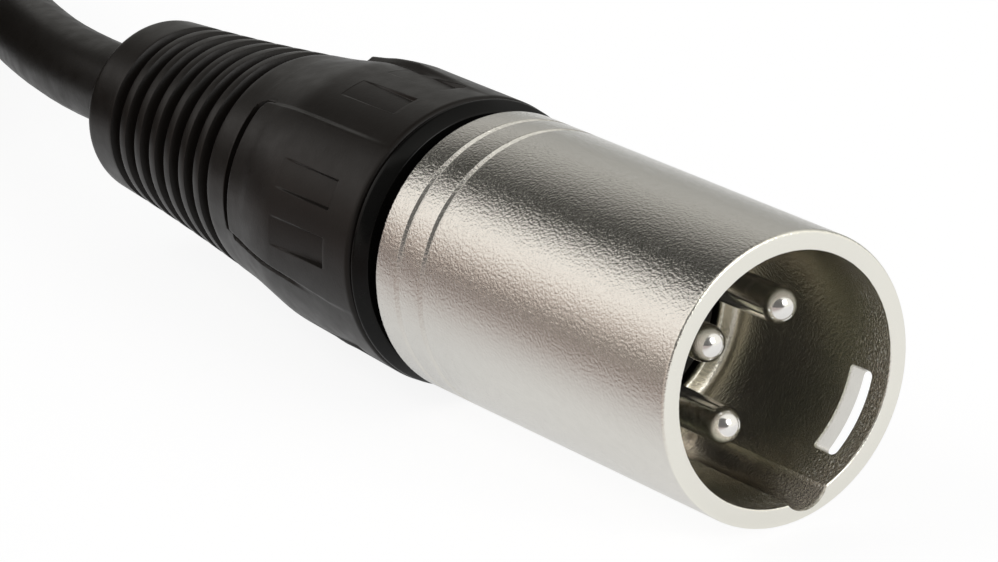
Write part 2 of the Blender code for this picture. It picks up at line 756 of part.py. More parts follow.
def wires(prefix, axis, angles, insert_rear, shell_len):
    """The two insulated wires and the drain wire, from their solder cups to the jacket's end."""
    cup_floor = insert_rear + CUP_LEN - CUP_DEPTH + GAP
    cup_end = insert_rear + CUP_LEN + 2 * WIRE_R
    jacket = shell_len + BACK_END_LEN - JACKET_INSIDE - GAP
    kinds = (("drain", DRAIN_R, copper()), ("hot_core", WIRE_R, wire_red()))
    kinds += (("cold_core", WIRE_R, wire_white()),)
    for (word, radius, dress), angle in zip(kinds, angles):
        points = [around(angle, PITCH_R, cup_floor), around(angle, PITCH_R, cup_end)]
        for share, spread in ((0.35, 0.8), (0.75, 0.25), (1.0, 0.0)):
            behind = cup_end + (jacket - cup_end) * share
            ring = WIRE_RING_R + (PITCH_R - WIRE_RING_R) * spread
            points.append(around(angle, ring, behind))
        tube(f"{prefix}_{word}", points, radius, axis, dress, 1)


def back_end(prefix, axis, shell_len, insert_rear, neck_front, angles):
    """What both connectors have behind the insert: wires, chuck, gland nut and boot."""
    wires(prefix, axis, angles, insert_rear, shell_len)
    collet = chuck(prefix + "_chuck", axis, shell_len, insert_rear)
    gland_nut(prefix + "_gland_nut", axis, shell_len, neck_front)
    flex_boot(prefix + "_flex_boot", axis, shell_len)
    return collet


def male_connector():
    """The connector with three pins in a deep shell."""
    axis = connector_axis("male_axis", (MALE_FRONT_X, 0.0), AXIS_HEIGHT)
    male_shell(axis)
    angles = contact_places(WINDOW_ANGLE, 1)
    collar_back = MALE_BORE_DEPTH + MALE_COLLAR_LEN
    front = MALE_BORE_DEPTH + INSERT_SET_BACK
    boss = MALE_COLLAR_R - GAP
    flange = REAR_BORE_R - GAP
    rear_len = MALE_INSERT_REAR
    bore = PIN_R + GAP
    _, rear = insert("male_insert", axis, front, collar_back, rear_len, boss, flange, angles, bore)
    for index, angle in enumerate(angles, 1):
        pin(index, axis, angle, rear)
    ground_spring("male_ground_spring", axis, WINDOW_ANGLE, rear, rear_len)
    back_end("male", axis, MALE_SHELL_LEN, rear, rear + NECK_FROM_INSERT, angles)


def female_shell(axis):
    """The body with its narrow nose, key rib, latch slot, button window and latch ears."""
    bore = FEMALE_BORE_R
    step_back = NOSE_LEN + FEMALE_WALL
    outline = [(0.0, NOSE_R - NOSE_EDGE), (NOSE_EDGE, NOSE_R), (NOSE_LEN, NOSE_R)]
    outline += arc(NOSE_LEN + SHELL_EDGE, SHELL_R - SHELL_EDGE, SHELL_EDGE, -90, 0)
    outline += shell_rear(FEMALE_SHELL_LEN)
    thread_front = LATCH_PIVOT + EAR_LEN / 2 + NECK_FROM_EARS - GAP
    outline += [(thread_front, REAR_BORE_R), (thread_front - GAP, bore)]
    outline += [(step_back, bore), (step_back, NOSE_BORE_R), (0.0, NOSE_BORE_R)]
    shell = turned("female_shell", outline, SHELL_STEPS, axis, nickel())
    key_in = (NOSE_BORE_R + NOSE_R) / 2
    key_place = facing(LATCH_ANGLE + KEY_FROM_LATCH, (key_in + KEY_R) / 2, NOSE_LEN - KEY_LEN / 2)
    key = boxes("key_rib", axis, [(key_place, (KEY_R - key_in, KEY_WIDTH, KEY_LEN))])
    combine(shell, key, "UNION")
    ears = []
    ear_outer = SHELL_R - GAP
    ear_inner = LATCH_PIN_HEIGHT - 2 * LATCH_PIN_R
    for side in (-1, 1):
        place = facing(LATCH_ANGLE, (ear_outer + ear_inner) / 2, LATCH_PIVOT)
        shift = side * (LATCH_ARM_WIDTH / 2 + SLIDE_GAP + EAR_THICK / 2)
        ears.append((place @ Matrix.Translation((0.0, shift, 0.0)), EAR_THICK))
    ear_top = math.sqrt(ear_outer**2 - (LATCH_ARM_WIDTH / 2 + SLIDE_GAP + EAR_THICK) ** 2)
    places = []
    for matrix, thick in ears:
        lowered = matrix @ Matrix.Translation(((ear_top - ear_outer) / 2, 0.0, 0.0))
        places.append((lowered, (ear_top - ear_inner, thick, EAR_LEN)))
    combine(shell, boxes("latch_ears", axis, places), "UNION")
    slot_back = step_back + GAP
    slot_front = LATCH_FRONT - SLIDE_GAP
    slot_width = LATCH_ARM_WIDTH + 2 * SLIDE_GAP
    slot_low = LATCH_ARM_BOTTOM - LATCH_TRAVEL - GAP
    slot_high = LATCH_ARM_TOP + SLIDE_GAP
    slot_place = facing(LATCH_ANGLE, (slot_low + slot_high) / 2, (slot_front + slot_back) / 2)
    slot_size = (slot_high - slot_low, slot_width, slot_back - slot_front)
    mouth_place = facing(LATCH_ANGLE, HOOK_TOP, (slot_front + NOSE_LEN) / 2)
    mouth_size = (2 * (HOOK_TOP - LATCH_ARM_TOP) + GAP, slot_width, NOSE_LEN - slot_front)
    combine(shell, boxes("latch_slot_cutter", axis, [(slot_place, slot_size)]))
    combine(shell, boxes("latch_mouth_cutter", axis, [(mouth_place, mouth_size)]))
    button_middle = BUTTON_FRONT + BUTTON_LEN / 2
    hole_high = SHELL_R + FEMALE_WALL
    hole_place = facing(LATCH_ANGLE, (LATCH_ARM_BOTTOM + hole_high) / 2, button_middle)
    hole_width = BUTTON_WIDTH + 2 * SLIDE_GAP
    hole_size = (hole_high - LATCH_ARM_BOTTOM, hole_width, BUTTON_LEN + 2 * SLIDE_GAP)
    combine(shell, boxes("button_window_cutter", axis, [(hole_place, hole_size)]))
    across = Matrix.Rotation(math.radians(90), 4, "X")
    pin_place = facing(LATCH_ANGLE, LATCH_PIN_HEIGHT, LATCH_PIVOT) @ across
    reach = LATCH_ARM_WIDTH + 2 * (SLIDE_GAP + EAR_THICK) + GAP
    bores = rods("latch_pin_bores", axis, [pin_place], LATCH_PIN_R + GAP, reach, SMALL_STEPS)
    combine(shell, bores)
    return shell


def latch(axis):
    """The latch lever: hook, arm, ribbed push button and the eye on its pin.

    Its own origin is on the pin, about which it turns.
    """
    pivot = bpy.data.objects.new("latch_pivot", None)
    collection(PARTS).objects.link(pivot)
    pivot.parent = axis
    pivot.matrix_local = facing(LATCH_ANGLE, LATCH_PIN_HEIGHT, LATCH_PIVOT)

    def bar(low, high, near, far, width):
        """A box between two heights above the axis and two distances behind the face."""
        middle = Vector(((low + high) / 2 - LATCH_PIN_HEIGHT, 0.0, LATCH_PIVOT - (near + far) / 2))
        return Matrix.Translation(middle), (high - low, width, far - near)

    button_back = BUTTON_FRONT + BUTTON_LEN
    made = boxes(
        "latch",
        pivot,
        [bar(LATCH_ARM_BOTTOM, LATCH_ARM_TOP, LATCH_FRONT, LATCH_PIVOT, LATCH_ARM_WIDTH)],
        dress=nickel(),
        cutter=False,
    )
    hook_back = LATCH_FRONT + HOOK_LEN
    hook_width = LATCH_ARM_WIDTH - GAP
    hook = bar(LATCH_ARM_BOTTOM + GAP, HOOK_TOP, LATCH_FRONT + GAP, hook_back, hook_width)
    combine(made, boxes("latch_hook", pivot, [hook]), "UNION")
    button = bar(LATCH_ARM_BOTTOM + GAP, BUTTON_TOP, BUTTON_FRONT, button_back, BUTTON_WIDTH)
    combine(made, boxes("latch_button", pivot, [button], corner=BUTTON_EDGE), "UNION")
    ridge_pitch = BUTTON_LEN / (BUTTON_RIDGES + 1)
    ridges = []
    for index in range(BUTTON_RIDGES):
        middle = BUTTON_FRONT + (index + 1) * ridge_pitch
        half = ridge_pitch / 6
        low = BUTTON_TOP - BUTTON_RIDGE_DEPTH
        ridges.append(bar(low, BUTTON_TOP + GAP, middle - half, middle + half, 2 * BUTTON_WIDTH))
    combine(made, boxes("button_groove_cutter", pivot, ridges))
    across = Matrix.Rotation(math.radians(90), 4, "X")
    boss = rods("latch_eye", pivot, [across], LATCH_EYE_R, LATCH_ARM_WIDTH + GAP, SMALL_STEPS)
    combine(made, boss, "UNION")
    bore_len = 2 * LATCH_ARM_WIDTH
    combine(made, rods("latch_eye_bore", pivot, [across], LATCH_PIN_R + GAP, bore_len, SMALL_STEPS))
    pin_len = LATCH_ARM_WIDTH + 2 * (SLIDE_GAP + EAR_THICK) - 2 * GAP
    rods("latch_pin", pivot, [across], LATCH_PIN_R, pin_len, SMALL_STEPS, spring_steel(), False)
    return made


def latch_spring(axis):
    """The small coil spring under the push button."""
    top = LATCH_ARM_BOTTOM - GAP
    turns = np.linspace(0.0, 2 * math.pi * SPRING_TURNS, SPRING_TURNS * 8 + 1)
    length = SPRING_LEN - 2 * SPRING_WIRE_R
    heights = top - SPRING_LEN + SPRING_WIRE_R + length * turns / turns[-1]
    middle = BUTTON_FRONT + BUTTON_LEN / 2
    frame = facing(LATCH_ANGLE, 0.0, middle)
    points = []
    for turn, height in zip(turns, heights):
        ring = Vector((height, SPRING_R * math.cos(turn), SPRING_R * math.sin(turn)))
        points.append(frame @ ring)
    return tube("latch_spring", points, SPRING_WIRE_R, axis, spring_steel(), 0)


def female_connector():
    """The connector with three sockets, a narrow nose and a sprung latch."""
    front_x = FEMALE_BOOT_END[0] + FEMALE_LEN
    axis = connector_axis("female_axis", (front_x, FEMALE_BOOT_END[1]), AXIS_HEIGHT)
    female_shell(axis)
    angles = contact_places(LATCH_ANGLE, -1)
    step_back = NOSE_LEN + FEMALE_WALL
    boss = NOSE_BORE_R - GAP
    flange = FEMALE_BORE_R - GAP
    front = INSERT_SET_BACK
    rear_len = FEMALE_INSERT_REAR
    bore = SOCKET_R + GAP
    made, rear = insert("female_insert", axis, front, step_back, rear_len, boss, flange, angles, bore)
    high = 2 * SHELL_R
    arm_low = LATCH_ARM_BOTTOM - LATCH_TRAVEL - GAP
    arm_width = LATCH_ARM_WIDTH + 2 * SLIDE_GAP
    button_low = LATCH_ARM_BOTTOM - LATCH_TRAVEL / 2
    button_width = BUTTON_WIDTH + 2 * SLIDE_GAP
    for index, (low, width) in enumerate(((arm_low, arm_width), (button_low, button_width))):
        near = -GAP if index == 0 else step_back
        place = facing(LATCH_ANGLE, (low + high) / 2, (near + rear + GAP) / 2)
        size = (high - low, width, rear + GAP - near)
        combine(made, boxes(f"insert_relief_cutter_{index}", axis, [(place, size)]))
    well_r = SPRING_R + SPRING_WIRE_R + GAP
    well_low = LATCH_ARM_BOTTOM - GAP - SPRING_LEN - GAP
    well_place = facing(LATCH_ANGLE, well_low + SHELL_R / 2, BUTTON_FRONT + BUTTON_LEN / 2)
    well_place = well_place @ Matrix.Rotation(math.radians(90), 4, "Y")
    well = rods("spring_well_cutter", axis, [well_place], well_r, SHELL_R, SMALL_STEPS)
    combine(made, well)
    for index, angle in enumerate(angles, 1):
        socket(index, axis, angle, front, rear)
    latch(axis)
    latch_spring(axis)
    ground_spring("female_ground_spring", axis, LATCH_ANGLE + 180, rear, rear_len)
    near = rear
    far = LATCH_PIVOT + EAR_LEN / 2 + GAP
    collet = back_end("female", axis, FEMALE_SHELL_LEN, rear, far - GAP + NECK_FROM_EARS, angles)
    place = facing(LATCH_ANGLE, (LATCH_RELIEF + high) / 2, (near + far) / 2)
    size = (high - LATCH_RELIEF, high, far - near)
    combine(collet, boxes("chuck_relief_cutter", axis, [(place, size)]))


def up_to_coil(points, radius):
    """Cut a route that runs towards the coil where its tube meets a ring of the given radius."""
    limit = radius + CABLE_R + GAP
    away = np.hypot(points[:, 0] - COIL_CENTRE[0], points[:, 1] - COIL_CENTRE[1])
    inside = int(np.argmax(away < limit))
    share = (away[inside - 1] - limit) / (away[inside - 1] - away[inside])
    end = points[inside - 1] + (points[inside] - points[inside - 1]) * share
    return np.vstack((points[:inside], end))


def along_shelf():
    """Points on the coil's wide bottom row, where the cable rests before it leaves the coil."""
    points = []
    for turn in np.radians(np.linspace(TAIL_LEAVES, TAIL_RESTS_FROM, 6)):
        x = COIL_CENTRE[0] + TAIL_TURN * math.cos(turn)
        y = COIL_CENTRE[1] + TAIL_TURN * math.sin(turn)
        points.append((x, y, TAIL_HEIGHT))
    return points


def cable_runs():
    """The two stretches of cable that aren't wound: from each boot to the coil."""
    spacing = 2.2 * CABLE_R
    lead_start = MALE_FRONT_X - MALE_LEN
    lead = [(lead_start + JACKET_INSIDE, 0.0, AXIS_HEIGHT), (lead_start, 0.0, AXIS_HEIGHT)]
    lead_points = smooth_route(lead + list(LEAD_ROUTE), spacing)
    outside = up_to_coil(lead_points, COIL_LOW_TURN + CABLE_R)
    tube("cable_lead", outside, CABLE_R, None, cable_jacket(), 2)
    end_x, end_y = FEMALE_BOOT_END
    tail = [(end_x + JACKET_INSIDE, end_y, AXIS_HEIGHT), (end_x, end_y, AXIS_HEIGHT)]
    tail_points = smooth_route(tail + list(reversed(TAIL_ROUTE)) + along_shelf(), spacing)
    tube("cable_tail", tail_points, CABLE_R, None, cable_jacket(), 2)


def coil_outline(grow):
    """The section of the wound bundle, a wide bottom row under narrower ones."""
    inner = COIL_INNER_TURN - CABLE_R - grow
    low = COIL_LOW_TURN + CABLE_R + grow
    high = COIL_HIGH_TURN + CABLE_R + grow
    bottom = COIL_LIFT - grow
    shelf = COIL_LIFT + COLUMN_PITCH + grow
    top = COIL_TOP + grow
    edge = COIL_EDGE
    outline = [(-top, high - edge), (-top + edge, high), (-shelf, high), (-shelf, low - edge)]
    outline += [(-shelf + edge, low), (-bottom - edge, low), (-bottom, low - edge)]
    outline += [(-bottom, inner + edge), (-bottom - edge, inner), (-top + edge, inner)]
    outline += [(-top, inner + edge)]
    return outline


def strap_outline(grow):
    """The section of the strap's inner or outer face: straight across the bundle's corners."""
    inner = COIL_INNER_TURN - CABLE_R - grow
    low = COIL_LOW_TURN + CABLE_R + grow
    high = COIL_HIGH_TURN + CABLE_R + grow
    bottom = COIL_LIFT - grow
    shelf = COIL_LIFT + COLUMN_PITCH + grow / 2
    top = COIL_TOP + grow
    edge = COIL_EDGE
    outline = [(-top, high - edge), (-top + edge, high), (-shelf, low), (-bottom - edge, low)]
    outline += [(-bottom, low - edge), (-bottom, inner + edge), (-bottom - edge, inner)]
    outline += [(-top + edge, inner), (-top, inner + edge)]
    return outline


def cable_coil():
    """The wound cable as one ring of its outer shape, and the strap that holds it."""
    centre = bpy.data.objects.new("coil_centre", None)
    collection(PARTS).objects.link(centre)
    centre.location = (*COIL_CENTRE, 0.0)
    turned("cable_coil", coil_outline(0.0), COIL_STEPS, centre, cable_jacket())
    strap = turned("coil_tie", strap_outline(GAP + TIE_THICK), COIL_STEPS, centre, strap_cloth())
    combine(strap, turned("tie_inner", strap_outline(GAP), COIL_STEPS, centre, cutter=True))
    reach = 2 * COIL_LOW_TURN
    far = GAP
    near = -COIL_TOP - 2 * TIE_THICK
    wedge = sector("tie_wedge", centre, TIE_ANGLE - 90, TIE_SPAN, reach, near, far)
    combine(strap, wedge, "INTERSECT")


def main():
    """Model the whole cable."""
    clear_scene()
    male_connector()
    female_connector()
    cable_runs()
    cable_coil()


main()
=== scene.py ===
"""Looks of a three-pole microphone cable: nickel shells, black boots, round cord, tie and studio.

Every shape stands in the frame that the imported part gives. Sizes of the pieces are written in
millimetres along and across a connector, and become metres when a mesh is made. "Behind" is the
distance behind a connector's mating face, and angles run round its axis from +Y towards +Z.
"""

import logging
import math
from dataclasses import dataclass, field, replace
from enum import Enum

import bmesh
import bpy
import numpy as np
from bpy.types import ID, Material, Mesh, Node, NodeTree, Object
from bpy.types import NodeSocket as Socket
from mathutils import Matrix, Vector


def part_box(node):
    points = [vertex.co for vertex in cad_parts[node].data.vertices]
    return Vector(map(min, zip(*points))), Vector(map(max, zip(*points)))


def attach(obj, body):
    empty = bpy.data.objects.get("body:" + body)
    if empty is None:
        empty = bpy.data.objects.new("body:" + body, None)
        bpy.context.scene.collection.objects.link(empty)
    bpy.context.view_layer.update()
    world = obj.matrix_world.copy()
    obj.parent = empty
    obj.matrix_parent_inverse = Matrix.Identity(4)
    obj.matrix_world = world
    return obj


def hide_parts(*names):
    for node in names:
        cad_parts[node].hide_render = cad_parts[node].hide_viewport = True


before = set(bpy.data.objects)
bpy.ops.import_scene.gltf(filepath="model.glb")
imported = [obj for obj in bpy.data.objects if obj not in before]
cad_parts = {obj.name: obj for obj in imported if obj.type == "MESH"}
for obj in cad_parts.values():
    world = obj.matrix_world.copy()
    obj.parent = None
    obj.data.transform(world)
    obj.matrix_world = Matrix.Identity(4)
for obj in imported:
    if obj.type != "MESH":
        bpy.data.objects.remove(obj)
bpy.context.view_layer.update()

LOG = logging.getLogger("cable")
MM = 0.001
FIT = 0.3
PAST = 1.0
TINY = 1e-6
SMALL_STEPS = 32
CURVE_STEPS = 24
NOISE_MIDDLE = (0.3, 0.7)
WHITE = (1.0, 1.0, 1.0)


class Body(Enum):
    """The bodies that pieces ride on."""

    CABLE = "cable_body"
    LATCH = "latch_lever"


class Slot(Enum):
    """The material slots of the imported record."""

    NICKEL = "satin_nickel"
    CONTACT = "silver_contact"
    PLASTIC = "black_plastic"
    BOOT = "black_boot"
    JACKET = "cable_jacket"
    STRAP = "strap_cloth"


class Cut(Enum):
    """How a tool piece changes a mesh."""

    AWAY = "DIFFERENCE"
    JOIN = "UNION"


Points = np.ndarray
Place = tuple[float, float, float]
Colour = tuple[float, float, float]
Range = tuple[float, float]
Outline = list[tuple[float, float, float]]
Tool = tuple[Mesh, Cut]
Value = Socket | float | tuple | Vector


def smooth_step(value: np.ndarray | float, start: float, end: float) -> np.ndarray:
    """Ease from 0 to 1.

    Args:
        value: where to read the ease.
        start: value at which it leaves 0.
        end: value at which it reaches 1.

    Returns:
        t squared times (3 - 2t), with t the share of the way from start to end.
    """
    share = np.clip((np.asarray(value, float) - start) / (end - start), 0.0, 1.0)
    return share * share * (3.0 - 2.0 * share)


@dataclass(frozen=True)
class Station:
    """Where a connector stands: its mating face on its axis, in metres."""

    front_x: float
    axis_y: float
    axis_z: float

    def place(self, behind: np.ndarray, radius: np.ndarray, angle: np.ndarray) -> Points:
        """Turn (behind, radius, angle) into points of the shared frame.

        Args:
            behind: distance behind the mating face, in millimetres.
            radius: distance from the axis, in millimetres.
            angle: turn round the axis, in radians.

        Returns:
            Points in metres, with the axes last.
        """
        behind, radius, angle = np.broadcast_arrays(behind, radius, angle)
        x = self.front_x - behind * MM
        y = self.axis_y + radius * np.cos(angle) * MM
        z = self.axis_z + radius * np.sin(angle) * MM
        return np.stack((x, y, z), axis=-1)

    def matrix(self, behind: float, radius: float, angle: float) -> Matrix:
        """A frame at such a point: X outwards, Y round the axis and Z to the front, in metres."""
        turn = math.radians(angle)
        out = Vector((0.0, math.cos(turn), math.sin(turn)))
        ahead = Vector((1.0, 0.0, 0.0))
        across = ahead.cross(out)
        made = Matrix((out, across, ahead)).transposed().to_4x4()
        made.translation = Vector(self.place(behind, radius, turn))
        return made


def station_of(shell: str) -> Station:
    """Read a connector's place from the box of its shell's CAD node."""
    low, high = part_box(shell)
    return Station(high.x, (low.y + high.y) / 2, (low.z + high.z) / 2)


MALE = station_of("male_shell")
FEMALE = station_of("female_shell")


@dataclass(frozen=True)
class Graph:
    """A node tree, with one short call for each kind of node."""

    tree: NodeTree

    def feed(self, node: Node, inputs: dict[str | int, Value]) -> Node:
        """Fill a node's inputs.

        Args:
            node: the node.
            inputs: for each input, by name or place, a socket to link or a constant to write.

        Returns:
            The same node.
        """
        for name, value in inputs.items():
            if isinstance(value, Socket):
                self.tree.links.new(value, node.inputs[name])
            else:
                node.inputs[name].default_value = value
        return node

    def add(self, kind: str, inputs: dict[str | int, Value] | None = None) -> Node:
        """A new node of a kind, with its inputs filled."""
        return self.feed(self.tree.nodes.new(kind), inputs or {})

    def noise(self, place: Socket, scale: float, detail: float) -> Socket:
        """A noise over a place, read at a scale in features a metre."""
        node = self.add("ShaderNodeTexNoise", {"Vector": place, "Scale": scale, "Detail": detail})
        return node.outputs["Fac"]

    def spread(self, value: Socket, span: Range, to: Range = (0.0, 1.0), ease: bool = False) -> Socket:
        """Map one range of numbers to another, held at both ends.

        Args:
            value: the number.
            span: the range that it comes in.
            to: the range that it goes out in.
            ease: whether it leaves and arrives gently.

        Returns:
            The mapped number.
        """
        ends = {"From Min": span[0], "From Max": span[1], "To Min": to[0], "To Max": to[1]}
        node = self.add("ShaderNodeMapRange", {"Value": value, **ends})
        if ease:
            node.interpolation_type = "SMOOTHSTEP"
        return node.outputs["Result"]

    def span(self, value: Socket, start: float, end: float) -> Socket:
        """Ease a length from 0 at its start to 1 at its end, both in millimetres."""
        return self.spread(value, (start * MM, end * MM), ease=True)

    def maths(self, operation: str, *values: Value, clamp: bool = False) -> Socket:
        """Join numbers with a maths node."""
        node = self.add("ShaderNodeMath", dict(enumerate(values)))
        node.operation = operation
        node.use_clamp = clamp
        return node.outputs["Value"]

    def vector(self, operation: str, *values: Value) -> Socket:
        """Make one number of vectors, such as a length or a dot product."""
        node = self.add("ShaderNodeVectorMath", dict(enumerate(values)))
        node.operation = operation
        return node.outputs["Value"]

    def mix(self, share: Socket, first: Value, second: Value) -> Socket:
        """Blend two colours, each of them a socket or three numbers."""
        node = self.tree.nodes.new("ShaderNodeMix")
        node.data_type = "RGBA"
        first, second = (side if isinstance(side, Socket) else (*side, 1.0) for side in (first, second))
        return self.feed(node, {"Factor": share, "A": first, "B": second}).outputs["Result"]

    def bump(self, height: Socket, distance: float, normal: Socket | None, strength: Value = 1.0) -> Socket:
        """Lift the surface by a height, over an earlier normal if there is one."""
        node = self.add("ShaderNodeBump", {"Height": height, "Distance": distance, "Strength": strength})
        if normal is not None:
            self.feed(node, {"Normal": normal})
        return node.outputs["Normal"]


@dataclass(frozen=True)
class Finish:
    """A surface finish: two colours mottled by noise, a varied gloss and a fine relief."""

    name: str
    dark: Colour
    light: Colour
    gloss: Range
    metallic: float = 0.0
    mottle: float = 120.0
    grain: float = 2500.0
    relief: float = 0.00001
    detail: float = 2.0
    mottle_detail: float = 4.0
    shine_detail: float = 3.0
    shine_finer: float = 3.0
    coarse: float = 0.0
    coarse_relief: float = 0.0
    specular: float = 0.5
    sheen: float = 0.0

    def material(self) -> Material:
        """Build the finish as a node material, once.

        Returns:
            The material, in which noise in object space mixes the two colours, sets the roughness
            between its two limits and lifts the surface through bump nodes.
        """
        made = bpy.data.materials.get(self.name)
        if made is not None:
            return made
        made = bpy.data.materials.new(self.name)
        made.use_nodes = True
        graph = Graph(made.node_tree)
        place = graph.add("ShaderNodeTexCoord").outputs["Object"]
        colour = graph.mix(graph.noise(place, self.mottle, self.mottle_detail), self.dark, self.light)
        shine = graph.noise(place, self.mottle * self.shine_finer, self.shine_detail)
        shine = graph.spread(shine, NOISE_MIDDLE, self.gloss)
        inputs = {
            "Metallic": self.metallic,
            "Specular IOR Level": self.specular,
            "Sheen Weight": self.sheen,
            "Base Color": self.tint(graph, place, colour),
            "Roughness": self.roughen(graph, place, shine),
            "Normal": self.surface(graph, place),
        }
        graph.feed(made.node_tree.nodes["Principled BSDF"], inputs)
        return made

    def tint(self, graph: Graph, place: Socket, colour: Socket) -> Socket:
        """The colour at a place; a finish that changes it overrides this."""
        return colour

    def roughen(self, graph: Graph, place: Socket, shine: Socket) -> Socket:
        """The roughness at a place; a finish that changes it overrides this."""
        return shine

    def surface(self, graph: Graph, place: Socket) -> Socket:
        """The normal of a fine relief over an optional coarse one."""
        normal = None
        for scale, height in ((self.coarse, self.coarse_relief), (self.grain, self.relief)):
            if scale > 0.0:
                normal = graph.bump(graph.noise(place, scale, self.detail), height, normal)
        return normal


@dataclass(frozen=True)
class ShellFinish(Finish):
    """Satin nickel on a connector's shell, with painted shade down its bore and in its keyway, painted glints
    near its mouth, a painted highlight on its rim, and smoother on its rim.
    """

    station: Station = MALE
    bore: float = 8.2
    outside: float = 9.5
    # Painted shade: the bore's two patch colours are darker and browner than the outside, standing in for the
    # dim light down the bore.
    painted_bore_shade: Colour = (0.71, 0.645, 0.58)
    bore_cool: Colour = (0.65, 0.65, 0.54)
    bore_patch: float = 110.0
    bore_rough: float = 0.22
    # Painted shade, darker still, in the keyway's channel.
    painted_keyway_shade: Colour = (0.50, 0.465, 0.41)
    keyway_from: Range = (0.06, 0.3)
    # Painted glints: bright specks mixed into the bore's colour, thickest near the rim.
    painted_glint_colour: Colour = (1.0, 1.0, 0.95)
    glint_scale: float = 5200.0
    glint_level: Range = (0.56, 0.66)
    glint_depth: float = 6.5
    pit_scale: float = 6400.0
    pit_relief: float = 0.00014
    pit_depth: float = 8.0
    skin: Range = (0.55, 0.3)
    # Painted highlight: the rim's face takes a paler colour for the light that it catches.
    painted_rim_highlight: Colour = (0.90, 0.885, 0.81)
    rim_depth: float = 0.25
    window_angle: float = -31.5
    window_reach: Range = (7.3, 7.7)

    def parts(self, graph: Graph, place: Socket) -> tuple[Socket, Socket, Socket]:
        """Split a place into lengths, in metres.

        Args:
            graph: the material's nodes.
            place: the object coordinate.

        Returns:
            The radius, the distance ahead of the mating face and how far the place lies towards
            the middle of the window.
        """
        front = (-self.station.front_x, -self.station.axis_y, -self.station.axis_z)
        shift = graph.add("ShaderNodeMapping", {"Vector": place, "Location": front}).outputs["Vector"]
        split = graph.add("ShaderNodeSeparateXYZ", {"Vector": shift}).outputs
        flat = graph.add("ShaderNodeCombineXYZ", {"Y": split["Y"], "Z": split["Z"]}).outputs["Vector"]
        turn = math.radians(self.window_angle)
        window = (0.0, math.cos(turn), math.sin(turn))
        return graph.vector("LENGTH", flat), split["X"], graph.vector("DOT_PRODUCT", flat, window)

    def masks(self, graph: Graph, place: Socket) -> tuple[Socket, Socket, Socket]:
        """Tell the shell's places apart.

        Args:
            graph: the material's nodes.
            place: the object coordinate.

        Returns:
            Three numbers from 0 to 1: the outside with the walls of the window, the rim and
            whatever is cut deeper than the bore.
        """
        radius, ahead, toward = self.parts(graph, place)
        outside = graph.span(radius, *(self.outside - depth for depth in self.skin))
        cut = graph.span(radius, *(self.bore + depth for depth in self.keyway_from))
        walls = graph.maths("MULTIPLY", cut, graph.span(toward, *self.window_reach))
        rim = graph.span(ahead, -self.rim_depth, -self.rim_depth / 4)
        return graph.maths("MAXIMUM", outside, walls), rim, cut

    def painted_bore_and_glints(self, graph: Graph, place: Socket) -> Socket:
        """The bore's colour: painted shade in random patches, with painted glints as bright specks that are
        thickest at the rim.
        """
        _, ahead, _ = self.parts(graph, place)
        patch = graph.spread(graph.noise(place, self.bore_patch, 1.0), NOISE_MIDDLE)
        # Painted glints: a thresholded noise of bright specks, fading inwards from the rim.
        speck = graph.spread(graph.noise(place, self.glint_scale, 1.0), self.glint_level, ease=True)
        near = graph.maths("MULTIPLY", speck, graph.span(ahead, -self.glint_depth, 0.0))
        return graph.mix(near, graph.mix(patch, self.painted_bore_shade, self.bore_cool), self.painted_glint_colour)

    def surface(self, graph: Graph, place: Socket) -> Socket:
        """The normal of the fine grain, and of coarser pits inside the mouth that fade inwards."""
        outer, _, _ = self.masks(graph, place)
        _, ahead, _ = self.parts(graph, place)
        near = graph.span(ahead, -self.pit_depth, -self.rim_depth)
        inner = graph.maths("SUBTRACT", near, outer, clamp=True)
        strength = graph.maths("MULTIPLY", inner, graph.span(ahead, 0.0, -self.rim_depth))
        pits = graph.noise(place, self.pit_scale, 3.0)
        return graph.bump(pits, self.pit_relief, super().surface(graph, place), strength)

    def tint(self, graph: Graph, place: Socket, colour: Socket) -> Socket:
        """The colour, with painted shade in the bore and the keyway and a painted highlight on the rim."""
        outer, rim, cut = self.masks(graph, place)
        inside = graph.mix(cut, self.painted_bore_and_glints(graph, place), self.painted_keyway_shade)
        return graph.mix(rim, graph.mix(outer, inside, colour), self.painted_rim_highlight)

    def roughen(self, graph: Graph, place: Socket, shine: Socket) -> Socket:
        """The roughness, even in the bore and varied elsewhere."""
        outer, rim, _ = self.masks(graph, place)
        lit = graph.maths("MAXIMUM", outer, rim)
        return graph.add("ShaderNodeMix", {"Factor": lit, "A": self.bore_rough, "B": shine}).outputs["Result"]


@dataclass(frozen=True)
class WovenFinish(Finish):
    """A brushed hook-and-loop cloth: crossed ribs under a fuzz of fine loops."""

    rib: float = 900.0
    wander: float = 1.5

    def surface(self, graph: Graph, place: Socket) -> Socket:
        """The normal of two crossed wave patterns over the fine noise."""
        normal = super().surface(graph, place)
        inputs = {"Vector": place, "Scale": self.rib / math.tau, "Distortion": self.wander}
        for axis in ("X", "Z"):
            wave = graph.add("ShaderNodeTexWave", inputs)
            wave.bands_direction = axis
            normal = graph.bump(wave.outputs["Fac"], self.relief * 2, normal, 0.5)
        return normal


